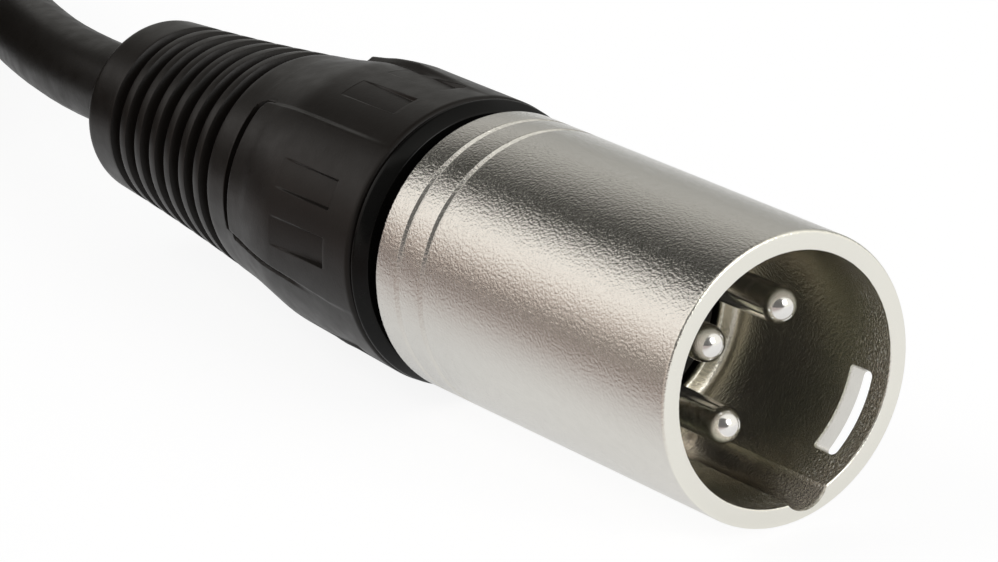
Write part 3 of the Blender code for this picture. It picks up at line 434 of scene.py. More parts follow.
MALE_NICKEL = ShellFinish(
    "satin_nickel_male",
    dark=(0.71, 0.695, 0.65),
    light=(0.77, 0.755, 0.71),
    gloss=(0.13, 0.19),
    metallic=1.0,
    mottle=1600.0,
    grain=5400.0,
    relief=0.000044,
    detail=5.0,
)
FEMALE_NICKEL = replace(MALE_NICKEL, name="satin_nickel_female", station=FEMALE, bore=6.9, outside=7.95)
LATCH_NICKEL = Finish(
    "satin_nickel_latch",
    dark=(0.66, 0.63, 0.60),
    light=(0.80, 0.77, 0.74),
    gloss=(0.22, 0.34),
    metallic=1.0,
    mottle=900.0,
    grain=4200.0,
    relief=0.000012,
)
CONTACT_SILVER = Finish(
    "bright_contact",
    dark=(0.80, 0.79, 0.76),
    light=(0.93, 0.92, 0.90),
    gloss=(0.10, 0.20),
    metallic=1.0,
    mottle=700.0,
    grain=3000.0,
    relief=0.000002,
)
STEEL = Finish(
    "plain_spring_steel",
    dark=(0.50, 0.50, 0.50),
    light=(0.66, 0.65, 0.64),
    gloss=(0.22, 0.38),
    metallic=1.0,
    mottle=800.0,
    grain=3000.0,
    relief=0.000004,
)
DRAIN_COPPER = Finish(
    "drain_tinned_copper",
    dark=(0.62, 0.48, 0.38),
    light=(0.80, 0.68, 0.58),
    gloss=(0.25, 0.45),
    metallic=1.0,
    mottle=1500.0,
    grain=4000.0,
    relief=0.00002,
)
GLOSS_BLACK = Finish(
    "gloss_black_plastic",
    dark=(0.003, 0.003, 0.0028),
    light=(0.006, 0.006, 0.0055),
    gloss=(0.12, 0.2),
    mottle=400.0,
    grain=900.0,
    relief=0.000003,
    specular=0.16,
)
INSERT_BLACK = Finish(
    "insert_black_plastic",
    dark=(0.010, 0.010, 0.009),
    light=(0.020, 0.019, 0.018),
    gloss=(0.34, 0.5),
    mottle=600.0,
    grain=3500.0,
    relief=0.000006,
)
BOOT_BLACK = Finish(
    "boot_black_rubber",
    dark=(0.0086, 0.0068, 0.0055),
    light=(0.0128, 0.0104, 0.0086),
    gloss=(0.33, 0.42),
    mottle=260.0,
    grain=5200.0,
    relief=0.000006,
    coarse=420.0,
    coarse_relief=0.000003,
    specular=0.24,
)
JACKET_BLACK = Finish(
    "jacket_black",
    dark=(0.0080, 0.0066, 0.0054),
    light=(0.0125, 0.0106, 0.0088),
    gloss=(0.38, 0.5),
    mottle=200.0,
    grain=3600.0,
    coarse=300.0,
    coarse_relief=0.000005,
    specular=0.3,
)
STRAP_BLACK = WovenFinish(
    "strap_black_cloth",
    dark=(0.012, 0.012, 0.014),
    light=(0.030, 0.030, 0.034),
    gloss=(0.75, 0.95),
    mottle=900.0,
    grain=2600.0,
    relief=0.00006,
    sheen=0.25,
)
CORE_RED = Finish(
    "core_red",
    dark=(0.38, 0.02, 0.02),
    light=(0.50, 0.04, 0.03),
    gloss=(0.35, 0.5),
    grain=3000.0,
    relief=0.000005,
)
CORE_WHITE = replace(CORE_RED, name="core_white", dark=(0.62, 0.61, 0.58), light=(0.74, 0.73, 0.70))
INNER_PARTS = (
    ("chuck", INSERT_BLACK),
    ("ground_spring", STEEL),
    ("hot_core", CORE_RED),
    ("cold_core", CORE_WHITE),
    ("drain", DRAIN_COPPER),
)


def link_object(name: str, data: ID) -> Object:
    """Put a new object with such data into the scene, at the origin."""
    made = bpy.data.objects.new(name, data)
    bpy.context.scene.collection.objects.link(made)
    return made


def link_mesh(name: str, mesh: Mesh, finish: Finish) -> Object:
    """Put a mesh of the shared frame into the scene, dressed in a finish and shaded smooth."""
    made = link_object(name, mesh)
    mesh.materials.append(finish.material())
    soften(mesh)
    return made


def soften(mesh: Mesh, angle: float = 32.0) -> None:
    """Shade a mesh smooth, with edges sharper than an angle in degrees left crisp."""
    mesh.polygons.foreach_set("use_smooth", np.ones(len(mesh.polygons), bool))
    mesh.set_sharp_from_angle(angle=math.radians(angle))


def write_back(shape: bmesh.types.BMesh, mesh: Mesh) -> Mesh:
    """Write an edited shape to a mesh, free the shape and return the mesh."""
    shape.to_mesh(mesh)
    shape.free()
    return mesh


def grid_mesh(name: str, points: Points, loop_rows: bool = True) -> Mesh:
    """Skin a grid of points, whose columns always close round.

    Face (i, j) joins rows i and i + 1 at columns j and j + 1, so a grid that runs backwards along
    its outer side and turns forwards round the axis faces outwards.

    Args:
        name: the mesh's name.
        points: rows by columns by three, in metres.
        loop_rows: whether the last row joins the first.

    Returns:
        The mesh, with rows that shrink to a point merged there.
    """
    rows, columns = points.shape[:2]
    index = np.arange(rows * columns).reshape(rows, columns)
    if loop_rows:
        index = np.vstack((index, index[:1]))
    right = np.roll(index, -1, axis=1)
    quads = np.stack((index[:-1], index[1:], right[1:], right[:-1]), axis=-1).reshape(-1, 4)
    mesh = bpy.data.meshes.new(name)
    mesh.from_pydata(points.reshape(-1, 3), [], quads.tolist())
    if not loop_rows:
        shape = bmesh.new()
        shape.from_mesh(mesh)
        bmesh.ops.remove_doubles(shape, verts=shape.verts, dist=1e-7)
        write_back(shape, mesh)
    return mesh


def rounded(outline: Outline, steps: int = 5) -> Points:
    """Round the corners of a closed or open outline.

    Each corner's arc is the curve (1-t)^2 a + 2t(1-t) b + t^2 c between the points a and c, which
    lie the corner's size away from it on either side.

    Args:
        outline: points as (behind, radius, corner size), in millimetres.
        steps: points in each rounded corner.

    Returns:
        The points as (behind, radius).
    """
    count = len(outline)
    done: list[np.ndarray] = []
    for index, (behind, radius, size) in enumerate(outline):
        here = np.array((behind, radius))
        if size <= 0.0:
            done.append(here[None])
            continue
        sides = []
        for other in (outline[index - 1], outline[(index + 1) % count]):
            way = np.array(other[:2]) - here
            sides.append(here + way * min(0.5, size / max(np.linalg.norm(way), 1e-9)))
        t = np.linspace(0.0, 1.0, steps)[:, None]
        done.append((1 - t) ** 2 * sides[0] + 2 * t * (1 - t) * here + t**2 * sides[1])
    return np.vstack(done)


def lathe(name: str, outline: Points, station: Station, steps: int, closed: bool = True) -> Mesh:
    """Turn an outline of (behind, radius) about a connector's axis.

    Args:
        name: the mesh's name.
        outline: points that run to the rear on the outer side.
        station: the connector.
        steps: facets round the axis.
        closed: whether the outline is a loop; if not, it starts and ends on the axis.

    Returns:
        The turned mesh.
    """
    turn = np.linspace(0.0, math.tau, steps, endpoint=False)
    points = station.place(outline[:, :1], outline[:, 1:], turn[None])
    return grid_mesh(name, points, closed)


def rod_mesh(name: str, matrix: Matrix, outline: Points, steps: int, closed: bool = False) -> Mesh:
    """Turn an outline of (along, radius) in millimetres about the Z axis of any matrix."""
    turn = np.linspace(0.0, math.tau, steps, endpoint=False)
    along, radius = np.broadcast_arrays(outline[:, :1], outline[:, 1:])
    across, up = radius * np.cos(turn), radius * np.sin(turn)
    ring = np.stack(np.broadcast_arrays(across, up, -along), axis=-1)
    basis = np.array(matrix.to_3x3())
    points = ring * MM @ basis.T + np.array(matrix.translation)
    return grid_mesh(name, points, closed)


def bar_mesh(name: str, matrix: Matrix, low: float, high: float, radius: float, steps: int) -> Mesh:
    """A plain cylinder between two distances against the Z axis of a matrix, in millimetres."""
    outline = np.array(((low, 0.0), (low, radius), (high, radius), (high, 0.0)))
    return rod_mesh(name, matrix, outline, steps)


def block_mesh(name: str, matrix: Matrix, size: Place, corner: float = 0.0, upright: bool = False) -> Mesh:
    """A block with rounded edges, in millimetres, centred on a matrix.

    Args:
        name: the mesh's name.
        matrix: its place.
        size: its length along the matrix's three axes.
        corner: radius of its edges.
        upright: whether only the edges along the X axis are rounded, in finer steps.

    Returns:
        The mesh.
    """
    shape = bmesh.new()
    bmesh.ops.create_cube(shape, size=1.0, matrix=Matrix.Diagonal((*(np.array(size) * MM), 1.0)))
    edges = shape.edges[:] + shape.verts[:]
    if upright:
        edges = [edge for edge in shape.edges if abs((edge.verts[0].co - edge.verts[1].co).x) > TINY]
    if corner > 0.0:
        steps = 6 if upright else 4
        bmesh.ops.bevel(shape, geom=edges, offset=corner * MM, segments=steps, profile=0.5, affect="EDGES")
    bmesh.ops.transform(shape, matrix=matrix, verts=shape.verts)
    bmesh.ops.recalc_face_normals(shape, faces=shape.faces)
    return write_back(shape, bpy.data.meshes.new(name))


def carve(piece: Object, tools: list[Tool]) -> Object:
    """Cut meshes from a piece, or join them on, and keep the result.

    Args:
        piece: the object to change.
        tools: meshes with what each of them does.

    Returns:
        The piece, with a plain mesh and no modifiers.
    """
    helpers = [link_object("tool", mesh) for mesh, _ in tools]
    for helper, (_, cut) in zip(helpers, tools):
        step = piece.modifiers.new("carve", "BOOLEAN")
        step.object = helper
        step.operation = cut.value
        step.solver = "EXACT"
    bake(piece)
    for helper in helpers:
        bpy.data.objects.remove(helper)
    return piece


def bake(piece: Object) -> Object:
    """Replace a piece's mesh by what its modifiers make of it."""
    graph = bpy.context.evaluated_depsgraph_get()
    mesh = bpy.data.meshes.new_from_object(piece.evaluated_get(graph))
    mesh.name = piece.name
    piece.modifiers.clear()
    piece.data = mesh
    soften(mesh)
    return piece


def settle(piece: Object, slot: Slot, *nodes: str, body: Body = Body.CABLE) -> Object:
    """Let a piece ride on a body in place of CAD nodes, and log it under its material slot.

    Args:
        piece: the new piece.
        slot: the slot of its finish.
        nodes: the CAD nodes that it stands for.
        body: what carries it.

    Returns:
        The piece.
    """
    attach(piece, body.value)
    if nodes:
        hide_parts(*nodes)
    faces = len(piece.data.polygons) if piece.type == "MESH" else 0
    LOG.info("%s: %d faces in %s", piece.name, faces, slot.value)
    return piece


def dress(node: str, finish: Finish) -> Object:
    """Give a CAD node that stays a node material."""
    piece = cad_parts[node]
    piece.data.materials.clear()
    piece.data.materials.append(finish.material())
    LOG.info("%s keeps its CAD shape", node)
    return piece


@dataclass
class Contacts:
    """Where a connector's three contacts stand, and their common sizes."""

    station: Station
    latch_angle: float
    side: int
    pitch: float = 4.05
    cup: float = 1.3
    cup_bore: float = 0.9
    cup_length: float = 5.0
    cup_depth: float = 3.4
    cup_open: float = 2.6
    countersink: float = 0.25
    steps: int = 48

    def angles(self) -> tuple[float, float, float]:
        """Angles of contacts 1, 2 and 3, in degrees."""
        first = self.latch_angle + self.side * 90
        second = self.latch_angle - self.side * 90
        return first, second, self.latch_angle + 180

    def axis(self, angle: float) -> Matrix:
        """The frame on a contact's own axis at the mating face."""
        return self.station.matrix(0.0, self.pitch, angle)

    def rear(self, end: float, shank: float) -> Outline:
        """The outline of a solder cup that starts at an insert's rear, down to its floor."""
        last = end + self.cup_length
        floor = last - self.cup_depth
        return [
            (end + FIT, shank, 0.0),
            (end + FIT, self.cup, 0.15),
            (last, self.cup, 0.1),
            (last, self.cup_bore, 0.1),
            (floor, self.cup_bore, 0.2),
            (floor, 0.0, 0.0),
        ]

    def cup_tool(self, angle: float, end: float) -> Mesh:
        """A block that opens the outer half of a solder cup."""
        length = self.cup_open + FIT
        middle = end + self.cup_length - self.cup_open + length / 2
        matrix = self.station.matrix(middle, self.pitch + self.cup / 2 + FIT, angle)
        return block_mesh("cup_tool", matrix, (self.cup, 3 * self.cup, length))

    def holes(self, radius: float, front: float, rear: float) -> list[Tool]:
        """Tools for three bores, lightly countersunk at the front.

        Args:
            radius: of each bore.
            front: where the bored piece starts.
            rear: where it ends.

        Returns:
            A mesh and its cut for each contact.
        """
        sunk = self.countersink
        mouth = ((front - PAST, 0.0), (front - PAST, radius + sunk), (front, radius + sunk))
        outline = np.array((*mouth, (front + sunk, radius), (rear + PAST, radius), (rear + PAST, 0.0)))
        places = [self.axis(angle) for angle in self.angles()]
        return [(rod_mesh("bore", place, outline, self.steps), Cut.AWAY) for place in places]


@dataclass
class ShellRear:
    """The rear end that both shells share: two fine grooves and the bore for the nut's neck."""

    outside: float = 9.5
    bore: float = 8.0
    groove_width: float = 0.5
    groove_depth: float = 0.27
    grooves: Range = (5.1, 2.5)
    edge: float = 0.25
    corner_steps: int = 7

    def outline(self, length: float) -> Outline:
        """The outline from the first groove round the rear edge into the bore."""
        points = []
        for offset in self.grooves:
            for shift, depth, corner in ((-0.5, 0.0, 0.06), (0.0, self.groove_depth, 0.12), (0.5, 0.0, 0.06)):
                behind = length - offset + shift * self.groove_width
                points.append((behind, self.outside - depth, corner))
        return [*points, (length, self.outside, self.edge), (length, self.bore, 0.15)]


@dataclass
class MaleShell:
    """The cast tube of the male end: deep mouth, latch window, keyway and inner collar."""

    station: Station = MALE
    length: float = 30.5
    outside: float = 9.5
    bore: float = 8.2
    depth: float = 15.0
    collar: float = 6.75
    collar_length: float = 2.0
    neck_front: float = 22.9
    edge: float = 0.26
    window_angle: float = -31.5
    window_width: float = 5.7
    window_length: float = 2.15
    window_depth: float = 4.0
    window_behind: float = 1.5
    window_corner: float = 0.35
    key_from_latch: float = 45.5
    keyway_radius: float = 1.65
    keyway_reach: float = 8.9
    keyway_length: float = 13.0
    keyway_flare: Range = (0.3, 0.12)
    keyway_steps: int = 64
    steps: int = 256

    def outline(self) -> Points:
        """The tube's section: outer side to the rear, then the stepped bore to the front."""
        back = self.depth + self.collar_length
        points = [
            (0.0, self.outside, self.edge),
            *ShellRear(outside=self.outside).outline(self.length),
            (back, ShellRear.bore, 0.1),
            (back, self.collar, 0.25),
            (self.depth, self.collar, 0.35),
            (self.depth, self.bore, 0.8),
            (0.0, self.bore, 0.14),
        ]
        return rounded(points, ShellRear.corner_steps)

    def window_tool(self) -> Mesh:
        """The block that cuts the latch window, with rounded corners seen from outside."""
        middle = self.window_behind + self.window_length / 2
        matrix = self.station.matrix(middle, (self.bore + self.outside) / 2, self.window_angle)
        size = (self.window_depth, self.window_width, self.window_length)
        return block_mesh("window_tool", matrix, size, self.window_corner, True)

    def keyway_tool(self) -> Mesh:
        """The round-bottomed cutter for the keyway, which runs out of the mouth."""
        angle = self.window_angle - self.key_from_latch
        matrix = self.station.matrix(0.0, self.keyway_reach - self.keyway_radius, angle)
        radius, length = self.keyway_radius, self.keyway_length
        wide, narrow = self.keyway_flare
        flare = ((-PAST, 0.0), (-PAST, radius + wide), (0.0, radius + narrow), (0.2, radius))
        outline = np.array((*flare, (length, radius), (length, 0.0)))
        return rod_mesh("keyway_tool", matrix, outline, self.keyway_steps)

    def build(self) -> Object:
        """Make, carve and settle the shell."""
        tube = lathe("male_shell_cast", self.outline(), self.station, self.steps)
        piece = link_mesh("male_shell_cast", tube, MALE_NICKEL)
        carve(piece, [(self.window_tool(), Cut.AWAY), (self.keyway_tool(), Cut.AWAY)])
        return settle(piece, Slot.NICKEL, "male_shell")


@dataclass
class Insert:
    """What both inserts share: boss, flange and rear part, which carry three contacts."""

    station: Station
    boss: float
    flange: float
    flange_front: float
    flange_corner: float
    rear_length: float
    contacts: Contacts
    flange_length: float = 2.0
    rear_radius: float = 6.2
    clearance: float = 0.2
    steps: int = 128

    @property
    def rear(self) -> float:
        """Distance from the mating face to the insert's rear."""
        return self.flange_front + self.flange_length + self.rear_length

    def outline(self, nose: Outline) -> Points:
        """The section of the moulding behind the outline of its nose."""
        back = self.flange_front + self.flange_length
        flange = [
            (self.flange_front, self.boss, 0.1),
            (self.flange_front, self.flange, self.flange_corner),
            (back, self.flange, self.flange_corner),
            (back, self.rear_radius, 0.1),
        ]
        return rounded([*nose, *flange, (self.rear, self.rear_radius, 0.3), (self.rear, 0.0, 0.0)])

    def moulding(self) -> Object:
        """Make the moulding, in a way of its own for each end."""
        raise NotImplementedError

    def contact_piece(self, number: int, angle: float) -> Object:
        """Make one contact, in a way of its own for each end."""
        raise NotImplementedError

    def build(self) -> None:
        """Make the moulding and its three contacts."""
        self.moulding()
        for number, angle in enumerate(self.contacts.angles(), 1):
            self.contact_piece(number, angle)


@dataclass
class MaleInsert(Insert):
    """The disc behind the mouth, its pins and their solder cups."""

    station: Station = MALE
    front: float = 15.4
    lip: float = 0.35
    lip_width: Range = (0.9, 0.7)
    dome_steps: int = 14
    boss: float = 6.45
    flange: float = 7.7
    flange_front: float = 17.3
    flange_corner: float = 0.15
    rear_length: float = 3.0
    pin: float = 1.2
    tip: float = 2.45
    contacts: Contacts = field(default_factory=lambda: Contacts(MALE, MaleShell.window_angle, 1))

    def moulding(self) -> Object:
        """The moulded disc, with a raised lip and a well round each pin."""
        nose = [
            (self.front + self.lip, 0.0, 0.0),
            (self.front + self.lip, self.boss - self.lip_width[0], 0.1),
            (self.front, self.boss - self.lip_width[1], 0.1),
            (self.front, self.boss, 0.25),
        ]
        mesh = lathe("male_insert", self.outline(nose), self.station, self.steps, False)
        piece = link_mesh("male_insert_moulded", mesh, INSERT_BLACK)
        carve(piece, self.contacts.holes(self.pin + self.clearance, self.front, self.rear))
        return settle(piece, Slot.PLASTIC, "male_insert")

    def contact_piece(self, number: int, angle: float) -> Object:
        """One pin: half a sphere, a plain shank and an open solder cup."""
        centre = self.tip + self.pin
        turn = np.radians(np.linspace(-90.0, 0.0, self.dome_steps))
        dome = np.stack((centre + self.pin * np.sin(turn), self.pin * np.cos(turn)), axis=1)
        body = rounded([(self.rear - PAST, self.pin, 0.0), *self.contacts.rear(self.rear, self.pin)])
        name = f"pin_{number}_turned"
        mesh = rod_mesh(name, self.contacts.axis(angle), np.vstack((dome, body)), self.contacts.steps)
        piece = link_mesh(name, mesh, CONTACT_SILVER)
        carve(piece, [(self.contacts.cup_tool(angle, self.rear), Cut.AWAY)])
        return settle(piece, Slot.CONTACT, f"pin_{number}")


@dataclass
class GlandNut:
    """The glossy nut between shell and boot: threaded neck, flange and tapered sleeve."""

    prefix: str
    station: Station
    shell_length: float
    neck_front: float
    gap: float = 1.4
    flange_length: float = 1.0
    flange: float = 9.72
    face: float = 9.1
    rim: float = 0.15
    neck: float = 7.7
    neck_bore: float = 6.6
    neck_end: float = 0.4
    sleeve_length: float = 18.6
    sleeve: tuple[float, float, float] = (8.2, 7.9, 6.3)
    sleeve_bore: float = 4.95
    taper_from: float = 4.1
    thread_pitch: float = 0.75
    thread_depth: float = 0.35
    thread_ends: Range = (0.3, 0.25)
    thread_rows: int = 8
    thread_flank: float = 2.4
    thread_crest: float = 0.1
    thread_fade: Range = (0.5, 0.4)
    steps: int = 128

    def build(self) -> Object:
        """Turn the nut, with its thread as a ridge whose height follows behind / pitch - turn."""
        face = self.shell_length + self.gap
        back = face + self.flange_length
        end = back + self.sleeve_length
        ends = (self.neck_front + self.thread_ends[0], face - self.thread_ends[1])
        thread = np.arange(*ends, self.thread_pitch / self.thread_rows)
        outline = rounded(
            [
                (face, self.neck, 0.1),
                (face, self.face, 0.12),
                (back - self.rim, self.flange, 0.12),
                (back, self.flange, 0.05),
                (back, self.sleeve[0], 0.1),
                (back + self.sleeve_length / 2, self.sleeve[1], 0.0),
                (end, self.sleeve[2], 0.2),
                (end, self.sleeve_bore, 0.1),
                (face + self.taper_from, self.neck_bore, 0.0),
                (self.neck_front, self.neck_bore, 0.1),
                (self.neck_front, self.neck - self.neck_end, 0.1),
            ]
        )
        turn = np.linspace(0.0, math.tau, self.steps, endpoint=False)
        phase = (thread[:, None] / self.thread_pitch - turn[None] / math.tau) % 1.0
        depth = np.clip(self.thread_flank * np.abs(phase - 0.5) - self.thread_crest, 0.0, 1.0)
        ease = smooth_step(thread, thread[0], thread[0] + self.thread_fade[0])
        ease = ease * smooth_step(-thread, -thread[-1], self.thread_fade[1] - thread[-1])
        ridge = self.neck - self.thread_depth * (1.0 - ease[:, None] * (1.0 - depth))
        threaded = self.station.place(thread[:, None], ridge, turn[None])
        plain = self.station.place(outline[:, :1], outline[:, 1:], turn[None])
        name = f"{self.prefix}_gland_nut_threaded"
        piece = link_mesh(name, grid_mesh(name, np.concatenate((threaded, plain))), GLOSS_BLACK)
        return settle(piece, Slot.PLASTIC, f"{self.prefix}_gland_nut")


@dataclass
class FlexBoot:
    """The soft boot: a tapered body with flex grooves, grip pads and wedge pockets.

    The outer surface is one height field: radius as a function of distance along and turn round.
    """

    prefix: str
    station: Station
    front: float
    length: float = 38.2
    radius: float = 9.8
    shoulder: Range = (11.8, 9.28)
    neck: Range = (16.8, 8.38)
    rear_radius: float = 6.3
    bow: float = 0.16
    blend: float = 0.7
    blend_taps: int = 9
    front_edge: float = 0.35
    rear_edge: float = 0.9
    groove_first: float = 20.2
    groove_pitch: float = 2.23
    groove_count: int = 7
    groove_width: float = 1.15
    groove_depth: float = 1.3
    wall: Range = (0.32, 0.16)
    pad_centres: tuple[float, ...] = (163.5, 283.5, 43.5)
    pad_upper: float = -35.5
    pad_lower_rear: float = 29.5
    pad_lower_front: float = 37.5
    pad_edge: float = 2.6
    pad_end: float = 15.8
    pad_corner: float = 1.4
    pad_ease: Range = (0.2, 0.3)
    pad_from: float = 3.0
    pad_top: tuple[Range, ...] = (
        (9.8, 9.8),
        (10.8, 9.72),
        (11.8, 9.6),
        (12.8, 9.45),
        (13.8, 9.24),
        (14.8, 9.08),
        (15.8, 8.92),
    )
    corner_turn: float = 8.0
    end_groove: float = 0.8
    end_behind: float = 0.62
    end_walls: Range = (0.36, 0.6)
    end_fade: float = 1.5
    low_groove: float = 0.5
    low_from: float = 5.0
    low_reach: Range = (1.2, 2.8)
    low_shift: float = 0.8
    low_flat: float = 0.35
    low_fade: float = 3.0
    pocket_front: float = 3.0
    pocket_rear: float = 9.3
    pocket_floor: float = 9.38
    pocket_half: float = 6.3
    pocket_side: float = 0.9
    pocket_edge: Range = (-0.08, 0.12)
    pad_pockets: tuple[float, ...] = (155.3, 178.5, 35.3, 58.5, 275.3, 298.5)
    valley_pockets: tuple[float, ...] = (85.5, 108.7, 228.7, 348.7)
    bore: float = 3.06
    inside: tuple[Range, ...] = ((18.9, 3.06), (18.9, 6.6), (9.3, 8.2), (0.0, 8.5))

    def plain(self, along: np.ndarray) -> np.ndarray:
        """Radius of the plain body: three straight tapers, the last bowed in, corners eased."""
        taps = along[..., None] + np.linspace(-self.blend, self.blend, self.blend_taps)
        places = (0.0, self.shoulder[0], self.neck[0], self.length)
        radii = (self.radius, self.shoulder[1], self.neck[1], self.rear_radius)
        straight = np.interp(taps, places, radii).mean(axis=-1)
        share = np.clip((along - self.neck[0]) / (self.length - self.neck[0]), 0.0, 1.0)
        return straight - self.bow * 4 * share * (1 - share)

    def grooves(self, along: np.ndarray) -> np.ndarray:
        """Depth of the flex grooves: full across each floor, eased at the walls."""
        depth = np.zeros_like(along)
        for index in range(self.groove_count):
            off = np.abs(along - self.groove_first - index * self.groove_pitch)
            half = self.groove_width / 2
            depth = np.maximum(depth, 1.0 - smooth_step(off, half - self.wall[0], half + self.wall[1]))
        return depth * self.groove_depth

    @staticmethod
    def turned_from(angle: np.ndarray, centre: float) -> np.ndarray:
        """Degrees from a centre, between -180 and 180."""
        return (angle - centre + 180.0) % 360.0 - 180.0

    def surface(self, along: np.ndarray, angle: np.ndarray) -> np.ndarray:
        """Radius of the outer surface.

        Args:
            along: distance behind the boot's front edge, in millimetres, as a column.
            angle: turn round the axis in degrees, as a row.

        Returns:
            The plain body, less grooves, with pads raised on it and pockets sunk in.
        """
        radius = body = self.plain(along) - self.grooves(along)
        top = np.interp(along, *np.transpose(self.pad_top))
        span = (self.pad_from, self.pad_end)
        lower = np.interp(along, span, (self.pad_lower_front, self.pad_lower_rear))
        for centre in self.pad_centres:
            turn = self.turned_from(angle, centre)
            corner = np.clip((self.pad_upper + self.corner_turn - turn) / self.corner_turn, 0.0, 1.0)
            end = self.pad_end - self.pad_corner * (1.0 - np.sqrt(1.0 - corner**2))
            across = smooth_step(turn, self.pad_upper, self.pad_upper + self.pad_edge)
            across = across * (1.0 - smooth_step(turn, lower - self.pad_edge, lower))
            across = across * (1.0 - smooth_step(along, end - self.pad_ease[0], end))
            radius = radius + across * np.maximum(top - body, 0.0)
            reach = np.interp(along, (self.low_from, self.pad_end), self.low_reach)
            off = np.abs(turn - lower - self.low_shift * reach) / reach
            under = 1.0 - smooth_step(off, self.low_flat, 1.0)
            under = under * smooth_step(along, self.low_from, self.pad_end - self.low_fade)
            under = under * (1.0 - smooth_step(along, end, end + self.pad_ease[1]))
            radius = radius - self.low_groove * under
            line = 1.0 - smooth_step(np.abs(along - end - self.end_behind), *self.end_walls)
            band = smooth_step(turn, self.pad_upper, self.pad_upper + self.end_fade)
            band = band * (1.0 - smooth_step(turn, self.pad_lower_rear, self.pad_lower_rear + self.end_fade))
            radius = radius - self.end_groove * line * band
        slope = np.interp(along, (self.pocket_front, self.pocket_rear), (self.pocket_floor, self.radius))
        inside = smooth_step(along - self.pocket_front, *self.pocket_edge)
        for centres, floor in ((self.pad_pockets, slope), (self.valley_pockets, self.pocket_floor)):
            for centre in centres:
                turn = np.abs(self.turned_from(angle, centre))
                side = self.pocket_half - self.pocket_side
                sunk = inside * (1.0 - smooth_step(turn, side, self.pocket_half))
                deep = np.where(along < self.pocket_rear, np.maximum(radius - floor, 0.0), 0.0)
                radius = radius - sunk * deep
        for size, gap in ((self.front_edge, along), (self.rear_edge, self.length - along)):
            near = np.clip(1.0 - gap / size, 0.0, 1.0)
            radius = radius - size * (1.0 - np.sqrt(1.0 - near**2))
        return radius

    def rows(self) -> np.ndarray:
        """Distances along the boot, closer together where the surface turns sharply."""
        sets = [
            self.front_edge * (1 - np.cos(np.linspace(0, math.pi / 2, 6))),
            np.arange(0.5, self.groove_first, 0.42),
            self.pocket_front + np.array((-0.12, -0.06, 0.0, 0.06, 0.14, 0.2)),
            self.pocket_rear + np.array((-0.3, -0.1, -0.01, 0.01, 0.1)),
            np.arange(self.pad_end - self.pad_corner - 0.25, self.pad_end + 1.35, 0.075),
            self.length - self.rear_edge * (1 - np.cos(np.linspace(math.pi / 2, 0, 9))),
        ]
        near = np.linspace(0.2, 0.8, 7)
        wall = np.concatenate((-near, (0.0,), near))
        for index in range(self.groove_count):
            sets.append(self.groove_first + index * self.groove_pitch + wall)
        last = self.groove_first + (self.groove_count - 1) * self.groove_pitch + 1.0
        sets.append(np.arange(last, self.length - self.rear_edge, 0.6))
        return np.unique(np.round(np.concatenate(sets), 4))

    def columns(self) -> np.ndarray:
        """Degrees round the boot, closer together at the edges of pads and pockets."""
        edge = np.linspace(-1.5, 1.5, 9)
        sets = [np.arange(0.0, 360.0, 1.8)]
        for centre in self.pad_pockets + self.valley_pockets:
            for side in (-1, 1):
                sets.append(centre + side * (self.pocket_half - 0.45) + edge * 0.4)
        for centre in self.pad_centres:
            sets.append(centre + self.pad_upper + self.pad_edge / 2 + edge)
            sets.append(centre + np.arange(self.pad_lower_rear - 2.6, self.pad_lower_front + 5.4, 0.4))
        return np.unique(np.round(np.concatenate(sets) % 360.0, 3))

    def build(self) -> Object:
        """Skin the height field and the bore inside it."""
        along = self.rows()[:, None]
        angle = self.columns()[None]
        outer = self.station.place(self.front + along, self.surface(along, angle), np.radians(angle))
        inner = np.array(((self.length, self.bore + 0.25), (self.length - 0.2, self.bore), *self.inside))
        bore = self.station.place(self.front + inner[:, :1], inner[:, 1:], np.radians(angle))
        name = f"{self.prefix}_boot_moulded"
        piece = link_mesh(name, grid_mesh(name, np.concatenate((outer, bore))), BOOT_BLACK)
        return settle(piece, Slot.BOOT, f"{self.prefix}_flex_boot")


@dataclass
class BackEnd:
    """What both connectors have behind the shell, and the inner pieces that keep their CAD shape."""

    prefix: str
    station: Station
    shell_length: float
    neck_front: float

    def build(self) -> None:
        """Make nut and boot, and dress the chuck, the earth leaf and the wires."""
        nut = GlandNut(self.prefix, self.station, self.shell_length, self.neck_front)
        nut.build()
        front = self.shell_length + nut.gap + nut.flange_length + FIT
        FlexBoot(self.prefix, self.station, front).build()
        for part, finish in INNER_PARTS:
            dress(f"{self.prefix}_{part}", finish)


